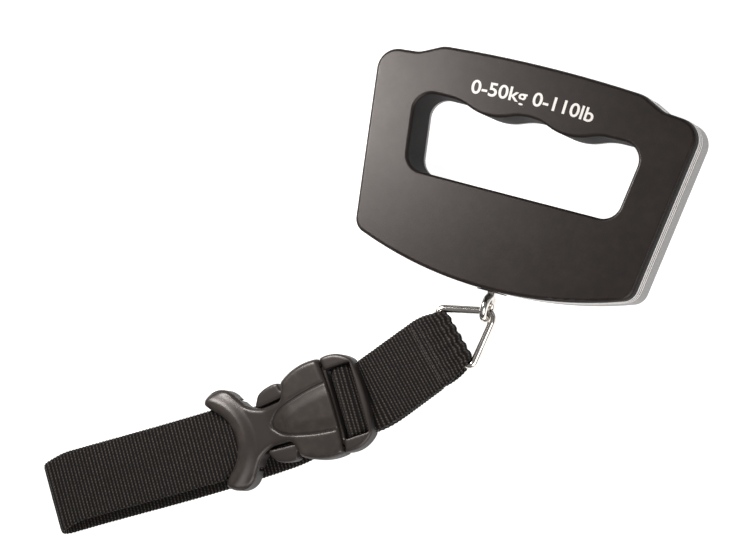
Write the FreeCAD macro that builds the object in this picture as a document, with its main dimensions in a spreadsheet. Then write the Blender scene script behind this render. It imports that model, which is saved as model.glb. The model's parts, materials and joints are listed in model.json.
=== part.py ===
import FreeCAD, Part
import math
import os
import re

import Sketcher
from FreeCAD import Placement, Rotation, Vector

# Digital luggage scale with a wide grip, a webbing strap and a side-release buckle.
# It lies on its display side: +Z is the plain front, +Y points from the eye bolt to the grip,
# and the origin is on the rear face, on the load axis, just inside the lower edge.

doc = FreeCAD.newDocument("luggage_scale")
sheet = doc.addObject("Spreadsheet::Sheet", "sizes")

SIZES = {
    # housing outline, before its corners are rounded
    "body_width": 130, "base_width": 111.6, "body_depth": 22, "body_height": 85.9,
    "edge_inset": 5.5, "base_rise": 10.2, "shoulder_drop": 7.2, "shoulder_slope": 1.4,
    "crown_width": 80, "crown_rise": 1.5, "crown_step": 9,
    "shoulder_radius": 8, "base_radius": 6, "step_radius": 9,
    # shells
    "rear_top": 10, "trim_top": 17.5, "wall": 2, "rear_wall": 2.2, "seam": 0.05,
    "front_edge": 1.3, "rear_edge": 1.2, "fit": 0.1,
    # grip opening
    "grip_top_width": 92, "grip_low_width": 84, "grip_low": 36.3, "grip_bar": 19.9,
    "finger_pitch": 16, "finger_depth": 3.2, "grip_radius": 7,
    "grip_edge": 1.2, "grip_wall": 1.8,
    # display panel
    "panel_width": 78, "panel_height": 20, "panel_mid": 15, "panel_recess": 0.5,
    "window_width": 36, "window_height": 14, "lens_flange": 1.5, "lens_step": 0.7,
    "lcd_width": 40, "lcd_height": 18, "lcd_depth": 1.4, "light_depth": 0.6,
    "board_left": 42, "board_right": 34, "board_height": 21, "board_depth": 1.1,
    "board_low": 5.1, "button_offset": 30, "button_diameter": 8, "button_flange": 1,
    "button_travel": 0.4, "button_step": 0.75, "key_side": 5, "key_depth": 1.0,
    # load cell, eye bolt and nut
    "load_level": 10, "cell_left": 8, "cell_length": 58, "cell_low": 6, "cell_height": 12,
    "cell_depth": 7, "cell_bore": 8, "cell_bore_first": 13, "cell_bore_pitch": 11,
    "cell_slot": 2.4, "bolt_first": 39, "bolt_pitch": 7.5, "bolt_diameter": 4,
    "bolt_head": 6.6, "bolt_head_depth": 2.4, "bolt_clear": 1.5, "anchor_length": 20, "anchor_height": 18,
    "anchor_depth": 1.5, "shank_diameter": 3.6, "eye_wire": 3, "eye_hole": 5.7,
    "eye_drop": 6.6, "nut_flats": 6, "nut_depth": 2.8, "washer_diameter": 7,
    "washer_depth": 0.8, "bush_diameter": 9, "bush_flange": 11.5, "bush_lip": 0.4,
    # batteries and door
    "cell_tube": 10.5, "cell_span": 44.5, "cell_lift": 2.5, "cell_gap": 0.45,
    "door_width": 95, "door_depth": 1.5, "door_sill": 2.5,
    "door_tongue": 1.2, "door_tongue_depth": 0.7, "contact_side": 8.6, "contact_depth": 0.5,
    "spring_length": 3.6,
    # screws
    "screw_high_inset": 10.6, "screw_high_drop": 10.2, "screw_low_inset": 4.2,
    "screw_low_rise": 19.9,
    "screw_diameter": 2.6, "screw_head": 5, "screw_head_depth": 1.9, "screw_sink": 3.2,
    "screw_length": 13, "boss_diameter": 7,
    # ring
    "ring_wire": 3, "ring_half_angle": 35, "ring_reach": 14.6, "ring_corner": 2,
    "ring_turn": 46.3, "ring_gap": 0.12,
    # webbing and buckle
    "webbing_width": 27.5, "webbing_neck": 18, "webbing_depth": 1.4, "strap_reach": 40,
    "strap_turn": 33, "loop_end": 137.5, "loop_level": 8.2, "lower_skew": 3,
    "buckle_level": 7.2, "buckle_depth": 10.4, "buckle_width": 37.8, "buckle_mouth": 14.4,
    "cavity_depth": 6.8, "pin_reach": 53, "pin_drop": 2.4, "pin_diameter": 3,
}

UNITS_ROW = 1
for row, (name, number) in enumerate(SIZES.items(), UNITS_ROW):
    sheet.set(f"A{row}", name)
    sheet.set(f"B{row}", str(number))
    sheet.setAlias(f"B{row}", name)
doc.recompute()


def cells(text):
    """The text of a formula with each size read from the sheet."""
    def swap(match):
        word = match.group(0)
        return "sizes." + word if word in SIZES else word
    return re.sub(r"[a-z][a-z_]*", swap, str(text))


def value(text):
    return float(sheet.evalExpression(cells(text)))


def bind(item, path, text):
    item.setExpression(path, cells(text))


def sub_part(name):
    body = doc.addObject("PartDesign::Body", name)
    body.Label = name
    return body


def plane(body, role):
    return next(item for item in body.Origin.OriginFeatures if item.Role == role)


def blank_sketch(body, name, lift, role):
    sketch = body.newObject("Sketcher::SketchObject", name)
    sketch.AttachmentSupport = [(plane(body, role), "")]
    sketch.MapMode = "FlatFace"
    bind(sketch, "AttachmentOffset.Base.z", lift)
    return sketch


def tie(sketch, kind, places, text):
    """One named dimension that follows the sheet."""
    index = sketch.addConstraint(Sketcher.Constraint(kind, *places, value(text)))
    label = f"size_{index}"
    sketch.renameConstraint(index, label)
    bind(sketch, "Constraints." + label, text)


def add_loop(sketch, corners):
    """A closed loop; a corner's third entry is how far its next side bows outwards."""
    spots = [Vector(value(corner[0]), value(corner[1]), 0) for corner in corners]
    first = sketch.GeometryCount
    ends = []
    for index, corner in enumerate(corners):
        start, stop = spots[index], spots[(index + 1) % len(spots)]
        if len(corner) == 2:
            sketch.addGeometry(Part.LineSegment(start, stop))
            ends.append((1, 2))
            continue
        along = stop - start
        side = Vector(along.y, -along.x, 0).normalize()
        bow = value(corner[2])
        middle = (start + stop) / 2 + side * bow
        if bow > 0:
            sketch.addGeometry(Part.Arc(start, middle, stop))
            ends.append((1, 2))
        else:
            sketch.addGeometry(Part.Arc(stop, middle, start))
            ends.append((2, 1))
    for index, corner in enumerate(corners):
        after = (index + 1) % len(corners)
        places = (first + index, ends[index][1], first + after, ends[after][0])
        sketch.addConstraint(Sketcher.Constraint("Coincident", *places))
        own = (-1, 1, first + index, ends[index][0])
        tie(sketch, "DistanceX", own, corner[0])
        tie(sketch, "DistanceY", own, corner[1])
        if len(corner) == 3:
            nearby = corners[after]
            chord = f"((({nearby[0]}) - ({corner[0]}))^2 + (({nearby[1]}) - ({corner[1]}))^2)"
            bow = f"abs({corner[2]})"
            tie(sketch, "Radius", (first + index,), f"{chord} / (8 * {bow}) + {bow} / 2")


def outline(body, name, loops, lift="0", role="XY_Plane"):
    sketch = blank_sketch(body, name, lift, role)
    for corners in loops:
        add_loop(sketch, corners)
    doc.recompute()
    return sketch


def circles(body, name, centres, diameter, lift="0", role="XY_Plane"):
    sketch = blank_sketch(body, name, lift, role)
    for index, (x_text, y_text) in enumerate(centres):
        centre = Vector(value(x_text), value(y_text), 0)
        sketch.addGeometry(Part.Circle(centre, Vector(0, 0, 1), value(diameter) / 2))
        tie(sketch, "DistanceX", (-1, 1, index, 3), x_text)
        tie(sketch, "DistanceY", (-1, 1, index, 3), y_text)
        tie(sketch, "Diameter", (index,), diameter)
    doc.recompute()
    return sketch


def box_loop(half_width, low, high):
    return [(f"-({half_width})", low), (half_width, low),
            (half_width, high), (f"-({half_width})", high)]


def pad(body, sketch, length):
    """Adds material from the sketch along +Z."""
    before = body.Shape.Volume if body.Tip else 0
    feature = body.newObject("PartDesign::Pad", sketch.Name + "_pad")
    feature.Profile = sketch
    bind(feature, "Length", length)
    doc.recompute()
    if not body.Shape.Volume > before:
        raise ValueError(f"{feature.Name} added nothing")
    return feature


def pocket(body, sketch, length, both_ways=False):
    """Cuts from the sketch along -Z, or to both sides of it."""
    before = body.Shape.Volume
    feature = body.newObject("PartDesign::Pocket", sketch.Name + "_cut")
    feature.Profile = sketch
    bind(feature, "Length", length)
    if both_ways:
        feature.SideType = "Symmetric"
    doc.recompute()
    if not body.Shape.Volume < before:
        raise ValueError(f"{feature.Name} cut nothing")
    return feature


def upright_edges(shape, spots):
    """Names of the edges that stand along Z at the spots."""
    names = []
    for number, edge in enumerate(shape.Edges, 1):
        ends = [vertex.Point for vertex in edge.Vertexes]
        if len(ends) != 2 or abs(ends[0].z - ends[1].z) < 0.01:
            continue
        for x_text, y_text in spots:
            target = Vector(value(x_text), value(y_text), 0)
            flat = [Vector(point.x, point.y, 0) for point in ends]
            if all((point - target).Length < 0.02 for point in flat):
                names.append(f"Edge{number}")
                break
    return names


def dress(body, kind, names, radius):
    """A Fillet or Chamfer on the named edges of the body's last feature."""
    if not names:
        raise ValueError(f"{body.Name} has no edges to dress")
    base = body.Tip
    feature = body.newObject("PartDesign::" + kind, f"{body.Name}_{kind.lower()}")
    feature.Base = (base, names)
    bind(feature, "Radius" if kind == "Fillet" else "Size", radius)
    doc.recompute()
    return feature


def round_corners(body, spots, radius):
    return dress(body, "Fillet", upright_edges(body.Shape, spots), radius)


def edges_at_level(shape, level, keep):
    """Edges that lie in the plane z = level and whose middle passes the test."""
    names = []
    for number, edge in enumerate(shape.Edges, 1):
        box = edge.BoundBox
        if abs(box.ZMin - level) > 0.01 or abs(box.ZMax - level) > 0.01:
            continue
        middle = edge.valueAt((edge.FirstParameter + edge.LastParameter) / 2)
        if keep(middle):
            names.append(f"Edge{number}")
    return names


def hollow(body, levels):
    """Leaves a shell of the housing's wall, open at the given flat levels."""
    faces = []
    for number, face in enumerate(body.Shape.Faces, 1):
        box = face.BoundBox
        if box.ZLength < 0.01 and any(abs(box.ZMin - level) < 0.01 for level in levels):
            faces.append(f"Face{number}")
    base = body.Tip
    feature = body.newObject("PartDesign::Thickness", body.Name + "_shell")
    feature.Base = (base, faces)
    feature.Reversed = True
    bind(feature, "Value", "wall")
    doc.recompute()
    return feature


def primitive(kind, name, sizes, spot=("0", "0", "0"), turn=None):
    """A Part primitive whose sizes and place follow the sheet."""
    item = doc.addObject(kind, name)
    for path, text in sizes.items():
        bind(item, path, text)
    if turn:
        item.Placement = Placement(Vector(), turn)
    for axis, text in zip("xyz", spot):
        bind(item, f"Placement.Base.{axis}", text)
    return item


ALONG_X = Rotation(Vector(0, 1, 0), 90)
ALONG_Y = Rotation(Vector(1, 0, 0), -90)


def cylinder(name, diameter, length, spot, turn=None):
    sizes = {"Radius": f"({diameter}) / 2", "Height": length}
    return primitive("Part::Cylinder", name, sizes, spot, turn)


def block(name, length, width, height, spot):
    sizes = {"Length": length, "Width": width, "Height": height}
    return primitive("Part::Box", name, sizes, spot)


def fuse(name, items):
    item = doc.addObject("Part::MultiFuse", name)
    item.Shapes = items
    item.Refine = True
    item.Label = name
    return item


def cut(name, base, tool):
    item = doc.addObject("Part::Cut", name)
    item.Base = base
    item.Tool = tool
    item.Label = name
    return item


def group(name, items):
    item = doc.addObject("Part::Compound", name)
    item.Links = items
    item.Label = name
    return item


def solid_feature(name, shape, placement):
    item = doc.addObject("Part::Feature", name)
    item.Shape = shape
    item.Placement = placement
    item.Label = name
    return item


# ---------------------------------------------------------------- housing outline

BASE_Y = "base_rise - edge_inset"
SHOULDER_Y = "body_height - edge_inset - shoulder_drop"
STEP_X = "crown_width / 2 + crown_step"
STEP_Y = f"{SHOULDER_Y} + shoulder_slope"
CROWN_Y = "body_height - edge_inset - crown_rise"

HOUSING = [
    ("-base_width / 2", BASE_Y, "base_rise"),
    ("base_width / 2", BASE_Y),
    ("body_width / 2", SHOULDER_Y),
    (STEP_X, STEP_Y),
    ("crown_width / 2", CROWN_Y, "crown_rise"),
    ("-crown_width / 2", CROWN_Y),
    (f"-({STEP_X})", STEP_Y),
    ("-body_width / 2", SHOULDER_Y),
]


def mirrored(x_text, y_text):
    return [(x_text, y_text), (f"-({x_text})", y_text)]


def housing_block(body, low, high):
    """The housing's outline between two levels, with its upright corners rounded."""
    pad(body, outline(body, body.Name + "_outline", [HOUSING], low), f"{high} - ({low})")
    round_corners(body, mirrored("base_width / 2", BASE_Y), "base_radius")
    round_corners(body, mirrored("body_width / 2", SHOULDER_Y), "shoulder_radius")
    spots = mirrored(STEP_X, STEP_Y) + mirrored("crown_width / 2", CROWN_Y)
    round_corners(body, spots, "step_radius")


GRIP_HIGH = "body_height - edge_inset - grip_bar"
GRIP_LOW = "grip_low - edge_inset"
WAVE_MID = f"{GRIP_HIGH} - finger_depth / 2"
GRIP = [
    ("-grip_low_width / 2", GRIP_LOW),
    ("grip_low_width / 2", GRIP_LOW),
    ("grip_top_width / 2", GRIP_HIGH),
    ("2 * finger_pitch", GRIP_HIGH, "finger_depth / 8"),
    ("1.5 * finger_pitch", WAVE_MID, "-finger_depth / 2"),
    ("finger_pitch / 2", WAVE_MID, "finger_depth / 2"),
    ("-finger_pitch / 2", WAVE_MID, "-finger_depth / 2"),
    ("-1.5 * finger_pitch", WAVE_MID, "finger_depth / 8"),
    ("-2 * finger_pitch", GRIP_HIGH),
    ("-grip_top_width / 2", GRIP_HIGH),
]
GRIP_WALL = [
    ("-grip_low_width / 2 - grip_wall", f"{GRIP_LOW} - grip_wall"),
    ("grip_low_width / 2 + grip_wall", f"{GRIP_LOW} - grip_wall"),
    ("grip_top_width / 2 + grip_wall", f"{GRIP_HIGH} + grip_wall"),
    ("-grip_top_width / 2 - grip_wall", f"{GRIP_HIGH} + grip_wall"),
]


def cut_grip(body, top):
    """The hand opening, with two finger rests on its upper side."""
    pocket(body, outline(body, body.Name + "_grip", [GRIP], top), f"{top} + 1")
    corners = mirrored("grip_low_width / 2", GRIP_LOW) + mirrored("grip_top_width / 2", GRIP_HIGH)
    round_corners(body, corners, "grip_radius")


def near_grip(point):
    return (abs(point.x) < value("grip_top_width / 2 + 0.5")
            and value(GRIP_LOW) - 0.5 < point.y < value(GRIP_HIGH) + 0.5)


def far_from_grip(point):
    return not near_grip(point)


SCREWS = (mirrored("body_width / 2 - screw_high_inset", f"{SHOULDER_Y} - screw_high_drop")
          + mirrored("base_width / 2 - screw_low_inset", f"{BASE_Y} + screw_low_rise"))
CELL_ROW = f"{GRIP_HIGH} + grip_wall + cell_gap + cell_tube / 2"
CELL_LEVEL = "cell_lift + cell_tube / 2"
DOOR_LOW = f"{GRIP_HIGH} + door_sill"
BEYOND_CROWN = "body_height + 5"

# ---------------------------------------------------------------- front cover

front = sub_part("front_cover")
housing_block(front, "trim_top", "body_depth")
hollow(front, [value("trim_top")])
wall_foot = "rear_wall + seam"
pad(front, outline(front, "grip_wall_ring", [GRIP_WALL], wall_foot),
    "body_depth - wall / 2 - rear_wall - seam")
cut_grip(front, "body_depth")
pad(front, circles(front, "front_bosses", SCREWS, "boss_diameter", "rear_top + seam"),
    "body_depth - wall / 2 - rear_top - seam")
pocket(front, circles(front, "pilot_holes", SCREWS, "screw_diameter + fit", "body_depth - wall"),
       "body_depth - wall - rear_top")
anchor_top = "load_level + cell_depth / 2 + seam + anchor_depth + seam"
BOLTS = [("bolt_first", "cell_low + cell_height / 2"),
         ("bolt_first + bolt_pitch", "cell_low + cell_height / 2")]
pad(front, circles(front, "anchor_bosses", BOLTS, "boss_diameter", anchor_top),
    f"body_depth - wall / 2 - ({anchor_top})")
pocket(front, circles(front, "anchor_pilots", BOLTS, "bolt_diameter + fit", "body_depth - wall"),
       f"body_depth - wall - ({anchor_top}) + 1")
dress(front, "Fillet", edges_at_level(front.Shape, value("body_depth"), far_from_grip),
      "front_edge")
dress(front, "Fillet", edges_at_level(front.Shape, value("body_depth"), near_grip), "grip_edge")

# ---------------------------------------------------------------- trim band

trim = sub_part("trim_band")
housing_block(trim, "rear_top + seam", "trim_top - seam")
hollow(trim, [value("rear_top + seam"), value("trim_top - seam")])
SHANK_HOLE = [("0", "load_level")]
pocket(trim, circles(trim, "trim_bush_hole", SHANK_HOLE, "bush_diameter + fit", "edge_inset",
                     "XZ_Plane"), "wall * 3", both_ways=True)


# ---------------------------------------------------------------- rear cover

rear = sub_part("rear_cover")
housing_block(rear, "0", "rear_top")
hollow(rear, [value("rear_top")])
pad(rear, circles(rear, "rear_bosses", SCREWS, "boss_diameter", "rear_wall / 2"),
    "rear_top - rear_wall / 2")
cut_grip(rear, "rear_top")
dress(rear, "Fillet", edges_at_level(rear.Shape, 0, far_from_grip), "rear_edge")
pocket(rear, circles(rear, "screw_holes", SCREWS, "screw_diameter + 2 * fit", "rear_top"),
       "rear_top")
pocket(rear, circles(rear, "screw_sinks", SCREWS, "screw_head + 2 * fit", "screw_sink"),
       "screw_sink")
panel = [(x, f"panel_mid + ({y})") for x, y in box_loop("panel_width / 2", "-panel_height / 2",
                                                        "panel_height / 2")]
pocket(rear, outline(rear, "display_recess", [panel], "panel_recess"), "panel_recess")


def around_panel(half_width, half_height):
    return box_loop(half_width, f"panel_mid - ({half_height})", f"panel_mid + ({half_height})")


window = around_panel("window_width / 2 + fit", "window_height / 2 + fit")
pocket(rear, outline(rear, "window_hole", [window], "rear_wall"), "rear_wall")
BUTTONS = mirrored("button_offset", "panel_mid")
pocket(rear, circles(rear, "button_holes", BUTTONS, "button_diameter + 2 * fit", "rear_wall"),
       "rear_wall")
DOOR_BAY = "door_width / 2 + fit"
bay = box_loop(DOOR_BAY, f"{DOOR_LOW} - fit", BEYOND_CROWN)
pocket(rear, outline(rear, "door_bay", [bay], "door_depth + fit"), "door_depth + fit")
slot = box_loop(f"{DOOR_BAY} + door_tongue", f"{DOOR_LOW} + 1 - fit", BEYOND_CROWN)
slot_top = "door_depth - fit"
pocket(rear, outline(rear, "tongue_slots", [slot], f"{slot_top} + fit"),
       "door_tongue_depth + 2 * fit")
CELL_HALF = "cell_span + 2"
cell_bay = box_loop(CELL_HALF, f"{DOOR_LOW} + 0.6",
                    f"{CELL_ROW} + cell_tube / 2 + cell_gap - 0.05")
pocket(rear, outline(rear, "cell_bay", [cell_bay], "rear_wall + 0.2"), "rear_wall + 0.2")
pocket(rear, circles(rear, "rear_bush_hole", SHANK_HOLE, "bush_diameter + fit", "edge_inset",
                     "XZ_Plane"), "wall * 3", both_ways=True)

# ---------------------------------------------------------------- battery door and cells

door = sub_part("battery_door")
housing_block(door, "0", "door_depth")
dress(door, "Fillet", edges_at_level(door.Shape, 0, lambda point: True), "rear_edge")
waste = box_loop("body_width", "-body_height", "body_height * 2")
kept = box_loop("door_width / 2", DOOR_LOW, BEYOND_CROWN)
pocket(door, outline(door, "door_trim", [waste, kept], "door_depth"), "door_depth")
tongue = box_loop("door_width / 2 + door_tongue - fit", f"{DOOR_LOW} + 1",
                  f"{DOOR_LOW} + 9")
pad(door, outline(door, "door_tongues", [tongue], "door_depth - door_tongue_depth"),
    "door_tongue_depth")
for number in range(3):
    line_low = f"{CELL_ROW} - 2 + {number} * 1.6"
    grip_line = box_loop("7", line_low, f"{line_low} + 0.8")
    pocket(door, outline(door, f"thumb_groove_{number + 1}", [grip_line], "0.4"), "0.4")

for name, shift in (("battery_left", "-cell_span - fit"), ("battery_right", "fit")):
    can = cylinder(name + "_can", "cell_tube", "cell_span - 1.2",
                   (shift, CELL_ROW, CELL_LEVEL), ALONG_X)
    nub = cylinder(name + "_nub", "3.8", "1.4",
                   (f"{shift} + cell_span - 1.4", CELL_ROW, CELL_LEVEL), ALONG_X)
    fuse(name, [can, nub])
plate_x = "cell_span + fit + seam"
plate = block("plus_contact", "contact_depth", "contact_side", "contact_side",
              (plate_x, f"{CELL_ROW} - contact_side / 2", f"{CELL_LEVEL} - contact_side / 2"))
plate.Label = "plus_contact"

spring_end = "-cell_span - fit - seam"


def coil_contact():
    """Conical contact spring on its square plate, standing on the -X side of the cells."""
    side = value("contact_side")
    deep = value("contact_depth")
    free = value("spring_length")
    wire = 0.7
    base = Part.makeBox(deep, side, side, Vector(-free, -side / 2, -side / 2))
    turns = 3
    helix = Part.makeHelix((free - deep - wire) / turns, free - deep - wire, side / 2 - 0.8)
    start = helix.Edges[0].valueAt(helix.Edges[0].FirstParameter)
    ring = Part.Wire(Part.makeCircle(wire / 2, start, Vector(0, 1, 0)))
    coil = Part.Wire(helix.Edges).makePipeShell([ring], True, True)
    coil.rotate(Vector(), Vector(0, 1, 0), 90)
    coil.translate(Vector(-free + deep + wire / 2 - 0.05, 0, 0))
    return base.fuse(coil)


middle = Vector(value(spring_end), value(CELL_ROW), value(CELL_LEVEL))
solid_feature("spring_contact", coil_contact(), Placement(middle, Rotation()))

# ---------------------------------------------------------------- display, board and buttons

lens = sub_part("lcd_lens")
pad(lens, outline(lens, "lens_face", [around_panel("window_width / 2", "window_height / 2")],
                  "panel_recess + 0.2"), "rear_wall - panel_recess")
flange = around_panel("window_width / 2 + lens_flange", "window_height / 2 + lens_flange")
pad(lens, outline(lens, "lens_lip", [flange], "rear_wall + seam"), "lens_step")

glass_low = "rear_wall + lens_step + 2 * seam"
for name, low, thick in (("lcd_glass", glass_low, "lcd_depth"),
                         ("backlight", f"{glass_low} + lcd_depth + seam", "light_depth")):
    piece = sub_part(name)
    pad(piece, outline(piece, name + "_sheet", [around_panel("lcd_width / 2", "lcd_height / 2")],
                       low), thick)

board = sub_part("circuit_board")
board_loop = [("-board_left", "panel_mid - board_height / 2"),
              ("board_right", "panel_mid - board_height / 2"),
              ("board_right", "panel_mid + board_height / 2"),
              ("-board_left", "panel_mid + board_height / 2")]
pad(board, outline(board, "board_outline", [board_loop], "board_low"), "board_depth")

keys = []
key_low = "board_low - seam - key_depth"
for side in (-1, 1):
    centre = f"{side} * button_offset"
    base = block(f"key_base_{side + 2}", "key_side", "key_side", "key_depth",
                 (f"{centre} - key_side / 2", "panel_mid - key_side / 2", key_low))
    stem = cylinder(f"key_stem_{side + 2}", "2.4", "0.5",
                    (centre, "panel_mid", f"{key_low} - 0.4"))
    keys.append(fuse(f"key_{side + 2}", [base, stem]))
group("key_switches", keys)

for name, spot in zip(("unit_button", "power_button"), BUTTONS):
    button = sub_part(name)
    pad(button, circles(button, name + "_cap", [spot], "button_diameter", "0.2"),
        "rear_wall + seam")
    pad(button, circles(button, name + "_skirt", [spot], "button_diameter + 2 * button_flange",
                        "rear_wall + seam"), "button_step")
    rim = edges_at_level(button.Shape, value("0.2"), lambda point: True)
    dress(button, "Fillet", rim, "0.5")

# ---------------------------------------------------------------- load cell and its fastening

cell = sub_part("load_cell")
cell_side = [("-cell_left", "cell_low"), ("cell_length - cell_left", "cell_low"),
             ("cell_length - cell_left", "cell_low + cell_height"),
             ("-cell_left", "cell_low + cell_height")]
CELL_FLOOR = "load_level - cell_depth / 2"
CELL_ROOF = "load_level + cell_depth / 2"
CELL_MID = "cell_low + cell_height / 2"
pad(cell, outline(cell, "cell_outline", [cell_side], CELL_FLOOR), "cell_depth")
BORES = [("cell_bore_first", CELL_MID), ("cell_bore_first + cell_bore_pitch", CELL_MID)]
pocket(cell, circles(cell, "cell_bores", BORES, "cell_bore", CELL_ROOF), "cell_depth")
saw = [(BORES[0][0], f"{CELL_MID} - cell_slot / 2"), (BORES[1][0], f"{CELL_MID} - cell_slot / 2"),
       (BORES[1][0], f"{CELL_MID} + cell_slot / 2"), (BORES[0][0], f"{CELL_MID} + cell_slot / 2")]
pocket(cell, outline(cell, "cell_slot", [saw], CELL_ROOF), "cell_depth")
pocket(cell, circles(cell, "cell_bolt_holes", BOLTS, "bolt_diameter + 2 * fit", CELL_ROOF),
       "cell_depth")
pocket(cell, circles(cell, "cell_shank_hole", SHANK_HOLE, "shank_diameter + fit",
                     f"-({CELL_MID})", "XZ_Plane"), "cell_height * 2", both_ways=True)

anchor = sub_part("anchor_plate")
anchor_left = "bolt_first + bolt_pitch / 2 - anchor_length / 2"
anchor_loop = [(anchor_left, f"{CELL_MID} - anchor_height / 2"),
               (f"{anchor_left} + anchor_length - 1", f"{CELL_MID} - anchor_height / 2 + 3"),
               (f"{anchor_left} + anchor_length - 1", f"{CELL_MID} + anchor_height / 2"),
               (anchor_left, f"{CELL_MID} + anchor_height / 2")]
pad(anchor, outline(anchor, "anchor_outline", [anchor_loop], f"{CELL_ROOF} + seam"),
    "anchor_depth")
pocket(anchor, circles(anchor, "anchor_holes", BOLTS, "bolt_diameter + 2 * fit",
                       f"{CELL_ROOF} + seam + anchor_depth"), "anchor_depth")

bolts = []
for number, (x_text, y_text) in enumerate(BOLTS, 1):
    head = cylinder(f"cell_bolt_head_{number}", "bolt_head", "bolt_head_depth",
                    (x_text, y_text, f"{CELL_FLOOR} - bolt_head_depth - seam"))
    shank = cylinder(f"cell_bolt_shank_{number}", "bolt_diameter",
                     f"body_depth - wall - bolt_clear + 1 - ({CELL_FLOOR})",
                     (x_text, y_text, f"{CELL_FLOOR} - 1"))
    bolts.append(fuse(f"cell_bolt_{number}", [head, shank]))
group("cell_bolts", bolts)

screws = []
for number, (x_text, y_text) in enumerate(SCREWS, 1):
    head = cylinder(f"screw_head_{number}", "screw_head", "screw_head_depth",
                    (x_text, y_text, "screw_sink - screw_head_depth - seam"))
    shank = cylinder(f"screw_shank_{number}", "screw_diameter", "screw_length",
                     (x_text, y_text, "screw_sink - 1"))
    whole = fuse(f"screw_blank_{number}", [head, shank])
    recess = [block(f"cross_{number}_{turn}", length, width, "1",
                    (f"{x_text} - {length} / 2", f"{y_text} - {width} / 2",
                     "screw_sink - screw_head_depth - 0.2"))
              for turn, (length, width) in enumerate((("2.6", "0.6"), ("0.6", "2.6")))]
    screws.append(cut(f"screw_{number}", whole, fuse(f"cross_{number}", recess)))
group("cover_screws", screws)

# ---------------------------------------------------------------- eye bolt, bush, washer, nut

EYE_Y = "-edge_inset - eye_drop"
EYE_RADIUS = "(eye_hole + eye_wire) / 2"
loop = primitive("Part::Torus", "eye_loop", {"Radius1": EYE_RADIUS, "Radius2": "eye_wire / 2"},
                 ("0", EYE_Y, "load_level"), ALONG_X)
CELL_BACK = "cell_low + cell_height"
shank = cylinder("eye_shank", "shank_diameter",
                 f"{CELL_BACK} + washer_depth + nut_depth + 1 - ({EYE_Y}) - ({EYE_RADIUS})",
                 ("0", f"{EYE_Y} + {EYE_RADIUS}", "load_level"), ALONG_Y)
fuse("eye_bolt", [loop, shank])

bush_face = "-edge_inset - seam"
barrel = cylinder("bush_barrel", "bush_diameter", "wall + 1.4",
                  ("0", f"{bush_face} - bush_lip / 2", "load_level"), ALONG_Y)
lip = cylinder("bush_rim", "bush_flange", "bush_lip",
               ("0", f"{bush_face} - bush_lip", "load_level"), ALONG_Y)
bore = cylinder("bush_bore", "shank_diameter + fit * 1.5", "body_height",
                ("0", "-body_height / 2", "load_level"), ALONG_Y)
cut("shank_bush", fuse("bush_blank", [barrel, lip]), bore)

disc = cylinder("washer_disc", "washer_diameter", "washer_depth",
                ("0", f"{CELL_BACK} + seam", "load_level"), ALONG_Y)
hole = cylinder("washer_hole", "shank_diameter + fit * 2", "washer_depth * 3",
                ("0", f"{CELL_BACK} - washer_depth", "load_level"), ALONG_Y)
cut("thrust_washer", disc, hole)

hexagon = primitive("Part::Prism", "nut_hexagon",
                    {"Circumradius": "nut_flats / 2 / cos(30 deg)", "Height": "nut_depth"},
                    ("0", f"{CELL_BACK} + washer_depth + 2 * seam", "load_level"), ALONG_Y)
hexagon.Polygon = 6
thread = cylinder("nut_thread", "shank_diameter", "nut_depth * 3",
                  ("0", f"{CELL_BACK} - nut_depth", "load_level"), ALONG_Y)
cut("eye_nut", hexagon, thread)

# ---------------------------------------------------------------- triangle ring


def pipe(edges, radius):
    """A round wire along edges that meet smoothly."""
    pieces = []
    for edge in edges:
        first = edge.FirstParameter
        ring = Part.Wire(Part.makeCircle(radius, edge.valueAt(first), edge.tangentAt(first)))
        pieces.append(Part.Wire([edge]).makePipeShell([ring], True, True))
    return pieces[0].multiFuse(pieces[1:]).removeSplitter()


def rounded_path(points, radii, closed=False):
    """Straight runs joined by tangent arcs; one radius for each corner."""
    count = len(points)
    corners = range(count) if closed else range(1, count - 1)
    cuts = {index: (points[index], None, points[index]) for index in range(count)}
    for index in corners:
        here = points[index]
        back = (points[index - 1] - here).normalize()
        ahead = (points[(index + 1) % count] - here).normalize()
        half = back.getAngle(ahead) / 2
        reach = radii[index] / math.tan(half)
        bisector = (back + ahead).normalize()
        apex = here + bisector * (radii[index] / math.sin(half) - radii[index])
        cuts[index] = (here + back * reach, apex, here + ahead * reach)
    edges = []
    for index in range(count if closed else count - 1):
        entry, apex, leave = cuts[index]
        if apex:
            edges.append(Part.Arc(entry, apex, leave).toShape())
        edges.append(Part.makeLine(leave, cuts[(index + 1) % count][0]))
    return edges


def frame_at(x, y, turn):
    """A local frame on the floor: X runs away from the scale, Z stays up."""
    return Placement(Vector(x, y, 0), Rotation(Vector(0, 0, 1), 180 + turn))


def reach_out(frame, distance):
    return frame.multVec(Vector(distance, 0, 0))


# The ring turns about the lower wire of the eye.
pivot_y = value(EYE_Y) - value(EYE_RADIUS)
pivot_frame = frame_at(0, pivot_y, value("ring_turn"))
bar_point = reach_out(pivot_frame, value("ring_reach"))
strap_frame = frame_at(bar_point.x, bar_point.y, value("ring_turn"))
male_point = reach_out(strap_frame, value("strap_reach"))
buckle_frame = frame_at(male_point.x, male_point.y, value("strap_turn"))

LEVEL = value("load_level")
wrap_radius = value("eye_wire") / 2 + value("ring_wire") / 2 + value("ring_gap")
half_angle = math.radians(value("ring_half_angle"))
apex_back = wrap_radius / math.sin(half_angle)
half_bar = (value("ring_reach") + apex_back) * math.tan(half_angle)
ring_points = [Vector(-apex_back, 0, LEVEL), Vector(value("ring_reach"), -half_bar, LEVEL),
               Vector(value("ring_reach"), half_bar, LEVEL)]
ring_path = rounded_path(ring_points, [wrap_radius] + 2 * [value("ring_corner")], closed=True)
solid_feature("triangle_ring", pipe(ring_path, value("ring_wire") / 2), pivot_frame)

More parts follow.
